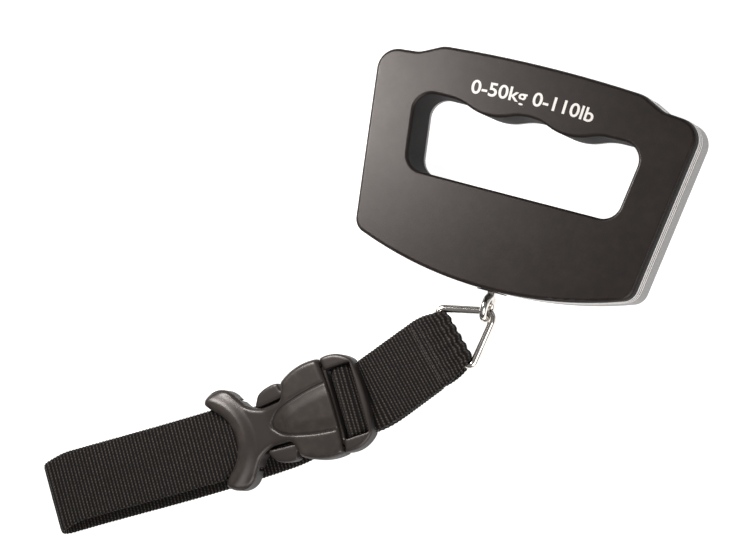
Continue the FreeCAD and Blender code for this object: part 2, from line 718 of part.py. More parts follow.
# ---------------------------------------------------------------- webbing

HALF_WEB = value("webbing_width") / 2
DEEP = value("webbing_depth")
BUCKLE = value("buckle_level")


def offset_edge(edge, distance):
    """The edge of a flat path moved sideways in the XZ plane."""
    def shifted(parameter):
        along = edge.tangentAt(parameter)
        return edge.valueAt(parameter) + Vector(-along.z, 0, along.x) * distance
    first, last = edge.FirstParameter, edge.LastParameter
    if edge.Curve.TypeId == "Part::GeomLine":
        return Part.makeLine(shifted(first), shifted(last))
    return Part.Arc(shifted(first), shifted((first + last) / 2), shifted(last)).toShape()


def ribbon(points, radii, thickness, half_width):
    """A band of even thickness along a path in the XZ plane."""
    path = rounded_path([Vector(x, 0, z) for x, z in points], radii)
    near = [offset_edge(edge, thickness / 2) for edge in path]
    far = [offset_edge(edge, -thickness / 2) for edge in path]
    start = Part.makeLine(far[0].valueAt(far[0].FirstParameter),
                          near[0].valueAt(near[0].FirstParameter))
    stop = Part.makeLine(near[-1].valueAt(near[-1].LastParameter),
                         far[-1].valueAt(far[-1].LastParameter))
    rim = Part.Wire(Part.__sortEdges__(near + far + [start, stop]))
    face = Part.Face(rim)
    face.translate(Vector(0, -half_width, 0))
    return face.extrude(Vector(0, 2 * half_width, 0))


def placed(shape, frame):
    copy = shape.copy()
    copy.Placement = frame.multiply(copy.Placement)
    return copy


wrap = value("ring_wire") / 2 + value("ring_gap") + DEEP / 2
PLY = DEEP + 0.1
half_neck = value("webbing_neck") / 2
reach = value("strap_reach")
neck_end = 5
slope_start = 12
slope_end = reach - 6
tail_start = 13.2
through_top = BUCKLE - 1.6
through_low = BUCKLE - 3.2
bar_wrap = ribbon([(neck_end, LEVEL - wrap), (-wrap, LEVEL - wrap), (-wrap, LEVEL + wrap),
                   (neck_end, LEVEL + wrap)], [0, wrap - 0.01, wrap - 0.01, 0], DEEP, half_neck)
front_ply = ribbon([(neck_end - 0.5, LEVEL + wrap), (slope_start, LEVEL + PLY / 2),
                    (slope_end, through_top), (reach + 1, through_top)],
                   [0, 4, 6, 0], DEEP, HALF_WEB)
back_ply = ribbon([(neck_end - 0.5, LEVEL - wrap), (slope_start, LEVEL - PLY / 2),
                   (slope_end, through_low), (reach - 1, through_low)],
                  [0, 4, 6, 0], DEEP, HALF_WEB)
through_male = ribbon([(-2, through_top), (2.9, through_top), (5.9, BUCKLE + 1.75),
                       (9.6, BUCKLE + 1.75), (11.6, BUCKLE - 0.7), (10.8, through_low),
                       (-3, through_low)], [0, 1.2, 1.2, 1.2, 1.2, 1.2, 0], DEEP, HALF_WEB)
plies = [placed(shape, strap_frame) for shape in (bar_wrap, front_ply, back_ply)]
plies.append(placed(through_male, buckle_frame))
solid_feature("webbing_upper", plies[0].multiFuse(plies[1:]).removeSplitter(), Placement())

floor_ply = DEEP / 2
fold_end = value("loop_end")
back_fall = (LEVEL - PLY / 2 - through_low) / (slope_end - slope_start)
back_level = LEVEL - PLY / 2 - (tail_start - slope_start) * back_fall
tail_fall = (back_level - 1.05 * DEEP - floor_ply) / (slope_end - tail_start)
ply_gap = DEEP / 2 * (math.hypot(1, back_fall) + math.hypot(1, tail_fall)) + 0.01
tail_ply = ribbon([(tail_start, back_level - ply_gap), (slope_end, floor_ply),
                   (reach + 2, floor_ply)], [0, 8, 0], DEEP, HALF_WEB)
flat_ply = Part.makeBox(fold_end - 6, 2 * HALF_WEB, DEEP, Vector(-2, -HALF_WEB, 0))
flat_ply.translate(Vector(0, value("lower_skew"), 0))
lower = placed(tail_ply, strap_frame).fuse(placed(flat_ply, buckle_frame)).removeSplitter()
solid_feature("webbing_lower", lower, Placement())

pin_x = value("pin_reach")
pin_level = BUCKLE - value("pin_drop")
pin_wrap = value("pin_diameter") / 2 + 0.1 + DEEP / 2
top = value("loop_level")
half_fold = (top - floor_ply) / 2
loop_path = [(pin_x + 19, BUCKLE - 0.85), (pin_x + 7, BUCKLE - 1.45),
             (pin_x + 0.5, pin_level - pin_wrap), (pin_x - pin_wrap, pin_level - pin_wrap),
             (pin_x - pin_wrap, pin_level + pin_wrap), (pin_x + 5, pin_level + pin_wrap),
             (pin_x + 23, top), (fold_end - floor_ply, top),
             (fold_end - floor_ply, floor_ply), (fold_end - 7.9, floor_ply)]
loop_radii = [0, 4, 2, pin_wrap - 0.01, pin_wrap - 0.01, 8, 8, half_fold - 0.01,
              half_fold - 0.01, 0]
solid_feature("webbing_loop", ribbon(loop_path, loop_radii, DEEP, HALF_WEB), buckle_frame)

# ---------------------------------------------------------------- buckle

HALF = "buckle_width / 2"
LOW = "buckle_level - buckle_depth / 2"
HIGH = "buckle_level + buckle_depth / 2"


def symmetric(side, first_bow, last_bow):
    """A loop mirrored about the local X axis from one side's corners, near end first."""
    one = [(corner[0], f"-({corner[1]})", *corner[2:]) for corner in side]
    other = [(after[0], after[1], *before[2:]) for before, after in zip(side, side[1:])]
    other.reverse()
    one[-1] = one[-1] + (last_bow,)
    return one + other + [(side[0][0], side[0][1], first_bow)]


def both(x, y):
    return [(x, y), (x, f"-({y})")]


def half_box(near, far, half_width):
    return [(near, f"-({half_width})"), (far, f"-({half_width})"),
            (far, half_width), (near, half_width)]


female = sub_part("buckle_female")
female_side = [("buckle_mouth", HALF, "1.8"), ("31.5", f"{HALF} - 4.1"), ("33.5", "8.2"),
               ("41", "7.8", "-0.5"), ("47.8", "10.9"), ("51", f"{HALF} - 3.2", "4"),
               ("64", f"{HALF} - 2.6"), ("61.4", f"{HALF} - 5.9")]
female_loop = symmetric(female_side, "1.4", "-6.5")
pad(female, outline(female, "female_outline", [female_loop], LOW), f"{HIGH} - ({LOW})")
for corner, radius in zip(female_side, (1, 1.5, 2, 3, 3, 1.5, 1.6, 1)):
    round_corners(female, both(*corner[:2]), str(radius))
upper_rim = edges_at_level(female.Shape, value(HIGH), lambda point: True)
dress(female, "Fillet", upper_rim, "2")
lower_rim = edges_at_level(female.Shape, value(LOW), lambda point: True)
dress(female, "Fillet", lower_rim, "1.2")
cavity = [(10, f"-{HALF} + 2.2"), (31.6, f"-{HALF} + 6.2"), (45.5, "-12.4"),
          (45.5, "12.4"), (31.6, f"{HALF} - 6.2"), (10, f"{HALF} - 2.2")]
pocket(female, outline(female, "female_cavity", [cavity], "buckle_level + cavity_depth / 2"),
       "cavity_depth")
web_bay = half_box("49.6", "70", "webbing_width / 2 + 0.5")
pocket(female, outline(female, "female_web_bay", [web_bay], "buckle_level + 0.9"), "20")
shield_outer = symmetric([("8", "10", "1.1"), ("34", "5.8", "0.5"), ("38.8", "2.2")],
                         "0.01", "1.2")
shield_inner = symmetric([("7", "9.1", "1.1"), ("33.4", "5", "0.5"), ("37.8", "1.7")],
                         "0.01", "0.9")
pocket(female, outline(female, "shield_groove", [shield_outer, shield_inner], HIGH), "0.6")
pin = female.newObject("PartDesign::AdditiveCylinder", "web_pin")
bind(pin, "Radius", "pin_diameter / 2")
bind(pin, "Height", "webbing_width + 4")
pin.Placement = Placement(Vector(pin_x, -HALF_WEB - 2, pin_level), ALONG_Y)
doc.recompute()
female.Placement = buckle_frame

male = sub_part("buckle_male")
male_near = ("1.4", f"{HALF} - 4.2")
male_loop = symmetric([(*male_near, "1.9"), ("buckle_mouth - 0.5", f"{HALF} - 0.1")],
                      "1.4", "-1.4")
male_low = "buckle_level - 4"
male_high = "buckle_level + 4.2"
pad(male, outline(male, "male_outline", [male_loop], male_low), f"{male_high} - ({male_low})")
round_corners(male, both(*male_near), "2.5")
for level in (male_high, male_low):
    dress(male, "Fillet", edges_at_level(male.Shape, value(level), lambda point: True), "1.2")
web_gap = "webbing_width / 2 + 0.25"
for name, near, far in (("slot_outer", "2.6", "6.4"), ("slot_inner", "9.2", "20")):
    gap = half_box(near, far, web_gap)
    pocket(male, outline(male, name, [gap], male_high), "20")
pocket(male, outline(male, "outer_bar_relief", [half_box("-5", "4", web_gap)],
                     "buckle_level - 0.6"), "10")
middle = half_box("5", "10", web_gap)
pocket(male, outline(male, "middle_bar_top", [middle], male_high), f"{male_high} - buckle_level - 0.9")
pocket(male, outline(male, "middle_bar_foot", [middle], "buckle_level - 1.4"), "10")
neck_low = "buckle_level - 2.9"
pad(male, outline(male, "male_neck", [half_box("12.7", "16.5", f"{HALF} - 3.4")], neck_low), "5.8")
guide = symmetric([("16", "2.4"), ("38", "2.0")], "0.01", "0.8")
pad(male, outline(male, "male_guide", [guide], "buckle_level - 2"), "4")
male.Placement = buckle_frame

for name, side in (("buckle_arm_left", -1), ("buckle_arm_right", 1)):
    arm = sub_part(name)
    loop = [(16.7, 9.8), (32, 9.0), (44, 8.2), (44.8, 9.4), (42.5, 13.4, 0.9), (33, 15.6),
            (32.6, 12.2), (30, 11.8), (16.7, 12.6)]
    if side < 0:
        flipped = [(corner[0], -corner[1]) for corner in reversed(loop)]
        bows = [corner[2] if len(corner) == 3 else None for corner in loop]
        bows = list(reversed(bows[:-1])) + [bows[-1]]
        loop = [corner if bow is None else corner + (bow,)
                for corner, bow in zip(flipped, bows)]
    texts = [tuple(str(number) for number in corner) for corner in loop]
    pad(arm, outline(arm, name + "_outline", [texts], "buckle_level - 2.8"), "5.6")
    pads_end = [("32.6", str(side * 12.2)), ("33", str(side * 15.6)), ("42.5", str(side * 13.4))]
    round_corners(arm, pads_end[:1], "0.8")
    round_corners(arm, pads_end[1:2], "1.0")
    for level in ("buckle_level - 2.8", "buckle_level + 2.8"):
        rim = edges_at_level(arm.Shape, value(level), lambda point: True)
        dress(arm, "Fillet", rim, "0.5")
    arm.Placement = buckle_frame

# ---------------------------------------------------------------- checks and files

NODES = [
    "front_cover", "trim_band", "rear_cover", "battery_door", "battery_left", "battery_right",
    "plus_contact", "spring_contact", "lcd_lens", "lcd_glass", "backlight", "circuit_board",
    "key_switches", "unit_button", "power_button", "load_cell", "anchor_plate", "cell_bolts",
    "cover_screws", "eye_bolt", "shank_bush", "thrust_washer", "eye_nut", "triangle_ring",
    "webbing_upper", "webbing_lower", "webbing_loop", "buckle_female", "buckle_male",
    "buckle_arm_left", "buckle_arm_right",
]
doc.recompute()
for item in doc.Objects:
    if "Invalid" in item.State or "Error" in item.State:
        raise ValueError(f"{item.Name}: {item.getStatusString()}")
shapes = {}
for name in NODES:
    item = doc.getObjectsByLabel(name)[0]
    if item.Shape.isNull() or not item.Shape.isValid() or not item.Shape.Solids:
        raise ValueError(f"{name} has no valid solid")
    shapes[name] = item.Shape

os.makedirs("parts", exist_ok=True)
for name, shape in shapes.items():
    shape.exportStep(f"parts/{name}.step")
    print(name, len(shape.Solids), round(shape.Volume, 1))
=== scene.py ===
import json
import math

import bmesh
import bpy
from mathutils import Matrix, Vector


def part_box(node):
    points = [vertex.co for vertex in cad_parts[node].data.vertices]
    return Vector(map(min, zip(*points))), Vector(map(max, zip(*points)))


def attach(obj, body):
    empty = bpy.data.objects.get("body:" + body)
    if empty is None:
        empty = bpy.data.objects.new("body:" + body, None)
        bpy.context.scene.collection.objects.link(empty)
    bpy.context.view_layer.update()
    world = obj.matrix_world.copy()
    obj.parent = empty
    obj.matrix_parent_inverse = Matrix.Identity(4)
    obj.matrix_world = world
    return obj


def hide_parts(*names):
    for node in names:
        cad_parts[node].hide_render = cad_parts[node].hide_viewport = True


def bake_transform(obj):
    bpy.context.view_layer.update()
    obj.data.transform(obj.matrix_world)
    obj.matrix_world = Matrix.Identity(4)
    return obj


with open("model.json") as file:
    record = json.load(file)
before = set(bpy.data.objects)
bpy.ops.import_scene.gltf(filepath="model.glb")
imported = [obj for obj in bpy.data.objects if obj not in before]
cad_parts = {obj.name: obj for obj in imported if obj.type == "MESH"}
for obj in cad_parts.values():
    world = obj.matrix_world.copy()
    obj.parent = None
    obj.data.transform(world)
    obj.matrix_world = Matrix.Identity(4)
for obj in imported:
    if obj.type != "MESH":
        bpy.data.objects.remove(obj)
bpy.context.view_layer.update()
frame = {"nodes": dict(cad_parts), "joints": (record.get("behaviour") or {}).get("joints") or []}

# Digital luggage scale, in metres: housing with a finger grip, display side down on the floor,
# eye bolt, triangle ring, ribbed webbing and a side-release buckle.

nodes = frame["nodes"]
joints = {joint["name"]: joint for joint in frame["joints"]}
mm = 0.001


class Wire:
    # an output of a node tree; arithmetic on it adds the Math nodes

    def __init__(self, graph, socket):
        self.graph = graph
        self.socket = socket

    def maths(self, operation, *others):
        given = dict(enumerate((self,) + others))
        return self.graph.node("ShaderNodeMath", {"operation": operation}, given)

    def __add__(self, other):
        return self.maths("ADD", other)

    def __sub__(self, other):
        return self.maths("SUBTRACT", other)

    def __mul__(self, other):
        return self.maths("MULTIPLY", other)

    def __truediv__(self, other):
        return self.maths("DIVIDE", other)

    def __rsub__(self, other):
        return self.graph.node("ShaderNodeMath", {"operation": "SUBTRACT"}, {0: other, 1: self})

    __radd__ = __add__
    __rmul__ = __mul__

    def also(self, name):  # another output of the same node
        return Wire(self.graph, self.socket.node.outputs[name])

    def between(self, low, high):  # 0 at low, 1 at high, smooth
        given = {"Value": self, "From Min": low, "From Max": high}
        return self.graph.node("ShaderNodeMapRange", {"interpolation_type": "SMOOTHSTEP"}, given)


class Graph:
    # a node tree; a new node's settings are its properties, its sockets get wires or values

    def __init__(self, tree):
        self.tree = tree

    def node(self, kind, settings=None, sockets=None, output=0):
        made = self.tree.nodes.new(kind)
        for name, setting in (settings or {}).items():
            setattr(made, name, setting)
        for name, given in (sockets or {}).items():
            if isinstance(given, Wire):
                self.tree.links.new(given.socket, made.inputs[name])
            else:
                made.inputs[name].default_value = given
        return Wire(self, made.outputs[output]) if made.outputs else made

    def mix(self, factor, first, second):  # colours
        given = {0: factor, 6: colour(first), 7: colour(second)}
        return self.node("ShaderNodeMix", {"data_type": "RGBA"}, given, 2)

    def noise(self, where, scale, detail=2.0):
        given = {"Vector": where, "Scale": scale, "Detail": detail}
        return self.node("ShaderNodeTexNoise", None, given)


def colour(tone):
    return tone if isinstance(tone, Wire) else (*tone[:3], 1)


class Finish(Graph):
    # a material: a Principled shader, its constants, and wires into what varies

    def __init__(self, name, **constants):
        self.material = bpy.data.materials.new(name)
        self.material.use_nodes = True
        super().__init__(self.material.node_tree)
        self.tree.nodes.clear()
        sheet = self.tree.nodes.new("ShaderNodeOutputMaterial")
        self.shader = self.tree.nodes.new("ShaderNodeBsdfPrincipled")
        self.tree.links.new(self.shader.outputs[0], sheet.inputs[0])
        self.place = self.node("ShaderNodeTexCoord", None, None, "Object")
        for socket, given in constants.items():
            self.shader.inputs[socket.replace("_", " ")].default_value = given

    def wear(self, **changing):
        for socket, wire in changing.items():
            self.tree.links.new(wire.socket, self.shader.inputs[socket.replace("_", " ")])

    def bump(self, height, depth, strength=1.0):
        given = {"Height": height, "Distance": depth, "Strength": strength}
        return self.node("ShaderNodeBump", None, given)

    def split(self, where):
        return self.node("ShaderNodeSeparateXYZ", None, {0: where}, "X")


# linear tone, roughness, the grain's noise scale and relief, and what else a piece shows
plastic = {
    "cover": {"tone": (0.0105, 0.0074, 0.0065), "rough": 0.40, "grain": 1700, "depth": 0.04 * mm,
              "gloss": 0.36, "rimHighlight": (20.6 * mm, 21.6 * mm), "wallShade": 0.8},
    "rear": {"tone": (0.22, 0.217, 0.213), "rough": 0.45, "grain": 1700, "depth": 0.03 * mm},
    "band": {"tone": (0.62, 0.61, 0.60), "rough": 0.30, "grain": 2600, "depth": 0.01 * mm},
    # painted shade: a near-black tone for the band, seen only between the silver beads
    "groove": {"tone": (0.010, 0.010, 0.010), "rough": 0.45, "grain": 2600, "depth": 0.01 * mm},
    "buckle": {"tone": (0.027, 0.0222, 0.0200), "rough": 0.36, "grain": 2200, "depth": 0.02 * mm,
               "rimHighlight": (11.0 * mm, 12.2 * mm), "wallShade": 0.4, "grooveShade": 0.9},
    "bush": {"tone": (0.03, 0.03, 0.03), "rough": 0.40, "grain": 2500, "depth": 0.01 * mm},
    "switch": {"tone": (0.04, 0.04, 0.045), "rough": 0.35, "grain": 3000, "depth": 0.01 * mm},
    "diffuser": {"tone": (0.80, 0.82, 0.80), "rough": 0.55, "grain": 1500, "depth": 0.01 * mm},
    "button": {"tone": (0.055, 0.055, 0.058), "rough": 0.62, "grain": 2400, "depth": 0.02 * mm},
}


def mouldedPlastic(name):
    # spark-eroded grain and cloudy tone; where asked for, a painted highlight as a paler rim
    # between two heights, painted shade that makes upright walls darker (and duller), and painted
    # shade in grooves where the mesh marks them
    size = plastic[name]
    tone = size["tone"]
    made = Finish(name + "Plastic", Specular_IOR_Level=size.get("gloss", 0.5))
    grain = made.noise(made.place, size["grain"], 3.0)
    clouds = made.noise(made.place, 60, 4.0)
    body = made.mix(clouds, [0.86 * part for part in tone], [1.14 * part for part in tone])
    rough = size["rough"] + (clouds - 0.5) * 0.10 + (grain - 0.5) * 0.08
    if "rimHighlight" in size:
        # painted highlight: the rim between two heights, on the rounded edge, is painted paler
        # where it would catch the light
        height = made.split(made.place).also("Z")
        paintedRim = height.between(*size["rimHighlight"]) * made.noise(made.place, 300, 4.0).between(0.35, 0.75)
        body = made.mix(paintedRim * 0.35, body, [2.2 * part for part in tone])
    if "grooveShade" in size:
        # painted shade: darker and rougher where the mesh's attribute marks a groove
        grooveShade = made.node("ShaderNodeAttribute", {"attribute_name": "grooveShade"}, None, "Fac")
        body = made.mix(grooveShade * size["grooveShade"], body, [0.08 * part for part in tone])
        rough = rough + grooveShade * 0.4
    if "wallShade" in size:
        # painted shade: faces that stand upright are painted darker, as if in shade, and are also
        # made rougher
        facing = made.node("ShaderNodeTexCoord", None, None, "Normal")
        wallShadeMask = 1 - made.split(facing).also("Z").maths("ABSOLUTE").between(0.25, 0.75)
        body = made.mix(wallShadeMask * size["wallShade"], body, [0.12 * part for part in tone])
        rough = rough + wallShadeMask * (0.55 * size["wallShade"])
    made.wear(Base_Color=body, Roughness=rough, Normal=made.bump(grain, size["depth"], 0.55))
    return made.material


metals = {
    "brightNickel": {"tone": (0.83, 0.80, 0.76), "rough": 0.10, "depth": 0.01 * mm},
    "zincPlate": {"tone": (0.60, 0.60, 0.61), "rough": 0.30, "depth": 0.02 * mm},
    "springContact": {"tone": (0.70, 0.68, 0.62), "rough": 0.22, "depth": 0.01 * mm},
    "milledAlloy": {"tone": (0.70, 0.71, 0.72), "rough": 0.34, "depth": 0.03 * mm},
    "blackOxide": {"tone": (0.075, 0.072, 0.070), "rough": 0.38, "depth": 0.02 * mm},
}


def metal(name):
    # plated or milled metal: fine drawn lines along Y and faint tarnish
    size = metals[name]
    tone = size["tone"]
    made = Finish(name + "Metal", Metallic=1.0)
    stretched = made.node("ShaderNodeMapping", None, {"Vector": made.place, "Scale": (1, 0.06, 1)})
    lines = made.noise(stretched, 900, 3.0)
    tarnish = made.noise(made.place, 160, 4.0)
    body = made.mix(tarnish.between(0.35, 0.8), tone, [0.72 * part for part in tone])
    rough = size["rough"] + (lines - 0.5) * 0.10 + tarnish * 0.05
    made.wear(Base_Color=body, Roughness=rough, Normal=made.bump(lines, size["depth"], 0.5))
    return made.material


webbingLook = {"dark": (0.0009, 0.0008, 0.0007), "light": (0.088, 0.073, 0.064),
               "threadPitch": 1.1, "slant": 0.5, "relief": 0.30 * mm}  # pitch in millimetres
threadLook = {"dark": (0.006, 0.006, 0.006), "light": (0.05, 0.047, 0.045), "relief": 0.05 * mm}


def webbingCloth():
    # each rib is a row of slanted threads; the UV counts ribs along and millimetres across
    made = Finish("ribbedWebbing", Sheen_Weight=0.06, Sheen_Roughness=0.5, Specular_IOR_Level=0.25)
    weave = made.node("ShaderNodeUVMap", {"uv_map": "weave"})
    ribs = made.split(weave)
    threads = ribs.also("Y") / webbingLook["threadPitch"]
    crest = 0.5 + 0.5 * (ribs * math.tau).maths("COSINE")
    over = 0.5 + 0.5 * ((threads + ribs * webbingLook["slant"]) * math.tau).maths("COSINE")
    lint = made.noise(made.place, 1400, 3.0)
    height = crest * (0.60 + 0.40 * over)
    # painted highlight and shade: rib crests are painted lighter and valleys darker, most where
    # threads lie over
    paintedRibLight = height.between(0.35, 1.0) * (0.35 + 0.65 * lint.between(0.3, 0.7))
    body = made.mix(paintedRibLight, webbingLook["dark"], webbingLook["light"])
    made.wear(Base_Color=body, Roughness=0.85 - paintedRibLight * 0.2,
              Normal=made.bump(height + lint * 0.2, webbingLook["relief"], 0.8))
    return made.material


def threadCloth():
    made = Finish("sewingThread", Sheen_Weight=0.2, Specular_IOR_Level=0.3)
    twist = made.noise(made.place, 2600, 2.0)
    body = made.mix(twist, threadLook["dark"], threadLook["light"])
    made.wear(Base_Color=body, Roughness=0.7 - twist * 0.1,
              Normal=made.bump(twist, threadLook["relief"]))
    return made.material


def printedInk(name, tone):
    made = Finish(name + "Ink", Specular_IOR_Level=0.4)
    spots = made.noise(made.place, 1800, 3.0)
    body = made.mix(spots.between(0.25, 0.5), [0.86 * part for part in tone], tone)
    made.wear(Base_Color=body, Roughness=0.5 + spots * 0.12)
    return made.material


panelLook = {
    "lens": ((0.05, 0.06, 0.06), (0.09, 0.10, 0.10)), "lensIndex": 1.49,
    "glass": ((0.25, 0.29, 0.22), (0.33, 0.37, 0.29)), "glassPitch": 0.5 * mm,
    "board": ((0.010, 0.075, 0.030), (0.03, 0.16, 0.06)), "tracks": (900, 1300),
    "can": ((0.03, 0.16, 0.07), (0.55, 0.47, 0.22)), "canSpeck": (0.02, 0.05, 0.03),
    "canBand": (32 * mm, 32.4 * mm),
}


def clearLens():
    made = Finish("acrylicLens", IOR=panelLook["lensIndex"])
    haze = made.noise(made.place, 500, 4.0)
    body = made.mix(haze, *panelLook["lens"])
    made.wear(Base_Color=body, Roughness=0.06 + haze * 0.06, Alpha=0.16 + haze * 0.04)
    return made.material


def displayGlass():
    # grey-green reflective display with faint upright lines
    made = Finish("displayGlass")
    spot = made.split(made.place)
    ripple = 0.5 + 0.5 * (spot * (math.tau / panelLook["glassPitch"])).maths("COSINE")
    clouds = made.noise(made.place, 90, 3.0)
    body = made.mix(clouds * 0.7 + ripple * 0.3, *panelLook["glass"])
    made.wear(Base_Color=body, Roughness=0.16 + clouds * 0.08)
    return made.material


def circuitMask():
    made = Finish("solderMask")
    spot = made.split(made.place)
    wide, high = panelLook["tracks"]
    tracks = (spot * wide).maths("SINE") * (spot.also("Y") * high).maths("SINE")
    body = made.mix(tracks.between(0.1, 0.5), *panelLook["board"])
    made.wear(Base_Color=body, Roughness=0.3 + made.noise(made.place, 700) * 0.1)
    return made.material


def printedCan():
    # a dry cell's plain printed sleeve with a paler band at its outer end
    made = Finish("printedCan")
    band = made.split(made.place).maths("ABSOLUTE").between(*panelLook["canBand"])
    speck = made.noise(made.place, 400, 3.0)
    body = made.mix(band, *panelLook["can"])
    made.wear(Base_Color=made.mix(speck * 0.2, body, panelLook["canSpeck"]),
              Roughness=0.24 + speck * 0.1)
    return made.material


finishes = {
    "cover_black": mouldedPlastic("cover"),
    "cover_grey": mouldedPlastic("rear"),
    "band_silver": mouldedPlastic("groove"),  # the band is painted almost black, a painted shade that shows in the gaps between the silver beads standing on it
    "buckle_plastic": mouldedPlastic("buckle"),
    "bush_black": mouldedPlastic("bush"),
    "switch": mouldedPlastic("switch"),
    "diffuser": mouldedPlastic("diffuser"),
    "button_rubber": mouldedPlastic("button"),
    "bright_nickel": metal("brightNickel"),
    "zinc_steel": metal("zincPlate"),
    "contact_metal": metal("springContact"),
    "cell_alloy": metal("milledAlloy"),
    "black_screw": metal("blackOxide"),
    "lens": clearLens(),
    "display": displayGlass(),
    "board": circuitMask(),
    "cell_can": printedCan(),
    "webbing": webbingCloth(),
}
thread = threadCloth()
beadSilver = mouldedPlastic("band")
whiteInk = printedInk("white", (0.72, 0.72, 0.70))
segmentInk = printedInk("segment", (0.012, 0.014, 0.012))

for carried in nodes.values():
    for held in carried.material_slots:
        held.material = finishes[held.material.name.split(".")[0]]
print("finishes on the carried nodes")


def linked(name, held):
    # an object at the origin, in the scene
    made = bpy.data.objects.new(name, held)
    bpy.context.scene.collection.objects.link(made)
    return made


def settle(name, mesh, body, replaced=()):
    # a finished piece: its mesh is in place, its object is at the origin
    made = linked(name, mesh)
    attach(made, body)
    if replaced:
        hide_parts(*replaced)


def plainMesh(holder, name):
    # what an object shows, as a plain mesh; the object goes
    depsgraph = bpy.context.evaluated_depsgraph_get()
    made = bpy.data.meshes.new_from_object(holder.evaluated_get(depsgraph))
    made.name = name
    bpy.data.objects.remove(holder)
    return made


def meshOf(name, corners, faces, edges=()):
    mesh = bpy.data.meshes.new(name)
    mesh.from_pydata(corners, edges, faces)
    mesh.update()
    return mesh


def growTree(name, inputs):
    # an empty Geometry Nodes tree with named inputs, and the graph that fills it
    tree = bpy.data.node_groups.new(name, "GeometryNodeTree")
    tree.interface.new_socket("Geometry", in_out="INPUT", socket_type="NodeSocketGeometry")
    tree.interface.new_socket("Geometry", in_out="OUTPUT", socket_type="NodeSocketGeometry")
    for label, (kind, _) in inputs.items():
        tree.interface.new_socket(label, in_out="INPUT", socket_type="NodeSocket" + kind)
    graph = Graph(tree)
    return graph, graph.node("NodeGroupInput")


def endTree(graph, geometry, material):
    # copies made real, one material, and the tree's output
    solid = graph.node("GeometryNodeRealizeInstances", None, {"Geometry": geometry})
    dressed = graph.node("GeometryNodeSetMaterial", None, {"Geometry": solid, "Material": material})
    graph.node("NodeGroupOutput", None, {"Geometry": dressed})


def runTree(graph, mesh, inputs, name):
    # the tree's result as a plain mesh
    holder = linked(name + "Seed", mesh)
    modifier = holder.modifiers.new(name, "NODES")
    modifier.node_group = graph.tree
    for item in graph.tree.interface.items_tree:
        if item.item_type == "SOCKET" and item.in_out == "INPUT" and item.name in inputs:
            modifier[item.identifier] = inputs[item.name][1]
    return plainMesh(holder, name)


webbing = {
    "width": 27.5 * mm, "neck": 20.2 * mm, "depth": 1.4 * mm, "ribPitch": 1.45 * mm,
    "ribHeight": 0.14 * mm, "ribSteps": 4, "across": 20, "reach": 40 * mm,
    "unevenness": 1.0, "unevenScale": 260,
    "ply": 0.75 * mm, "wrap": 2.32 * mm, "turnLength": 12 * mm, "loopReach": 137.5 * mm,
    "edge": 0.45 * mm, "edgeThin": 0.55,
    "gatherRun": (-2.6 * mm, 10 * mm), "gatherPower": 0.4,
    "ruffle": 0.5 * mm, "ruffleCount": 4.5, "rufflePhase": 0.6, "ruffleStart": -2.4 * mm,
    "ruffleFade": (2 * mm, 14 * mm), "scallop": 0.7 * mm, "scallopTurn": 17, "scallopSlip": 1.2,
    "scallopEnd": 1 * mm,
    "lean": 3.6 * mm, "leanRun": (95 * mm, 190 * mm),
    "skew": 3 * mm, "skewRun": (50 * mm, 80 * mm), "skewBack": (6 * mm, 24 * mm),
    "blendStart": 65 * mm, "blendShort": 10 * mm,
}
ringLevel = joints["strap_fold"]["pos_m"][2] / mm
buckleLevel = joints["arm_left_flex"]["pos_m"][2] / mm


def lineFrame(start, along):
    # a straight line on the floor plan, with the side direction to its left
    along = Vector(along).normalized()
    return Vector(start), along, Vector((-along.y, along.x, 0))


foldAxis = Vector(joints["strap_fold"]["axis"])
barPoint = Vector(joints["strap_fold"]["pos_m"])
barPoint.z = 0
strapLine = lineFrame(barPoint, (foldAxis.y, -foldAxis.x, 0))
buckleStart = barPoint + strapLine[1] * webbing["reach"]
buckleLine = lineFrame(buckleStart - Vector(joints["buckle_release"]["axis"]) * webbing["reach"],
                       joints["buckle_release"]["axis"])


def ease(amount, low, high):
    share = min(max((amount - low) / (high - low), 0), 1)
    return share * share * (3 - 2 * share)


def onPlan(run, side, level):
    # a point of the strap: run along it from the ring's bar, side to its left, and a height
    share = ease(run, webbing["reach"] - webbing["turnLength"] / 2,
                 webbing["reach"] + webbing["turnLength"] / 2)
    spots = [start + along * run + left * side for start, along, left in (strapLine, buckleLine)]
    spot = spots[0].lerp(spots[1], share)
    return Vector((spot.x, spot.y, level))


bends = {"step": 0.15, "least": 0.01, "share": 0.49}  # radians, radians, and a share of a run


def roundPath(corners):
    # straight runs joined by tangent arcs; a corner is (run, level, radius) in millimetres
    points = [Vector((corner[0], corner[1])) * mm for corner in corners]
    path = [points[0]]
    for before, spot, after, corner in zip(points, points[1:], points[2:], corners[1:]):
        back, ahead = (before - spot), (after - spot)
        turn = math.pi - back.angle(ahead)
        radius = corner[2] * mm
        if radius <= 0 or turn < bends["least"]:
            path.append(spot)
            continue
        cut = min(radius * math.tan(turn / 2), bends["share"] * back.length,
                  bends["share"] * ahead.length)
        first, last = spot + back.normalized() * cut, spot + ahead.normalized() * cut
        centre = spot + (back.normalized() + ahead.normalized()).normalized() * math.hypot(
            cut, cut / math.tan(turn / 2))
        sweep = (first - centre).angle_signed(last - centre)
        steps = max(3, int(abs(sweep) / bends["step"]))
        for step in range(steps + 1):
            spoke = (first - centre).copy()
            spoke.rotate(Matrix.Rotation(-sweep * step / steps, 2))
            path.append(centre + spoke)
    path.append(points[-1])
    return path


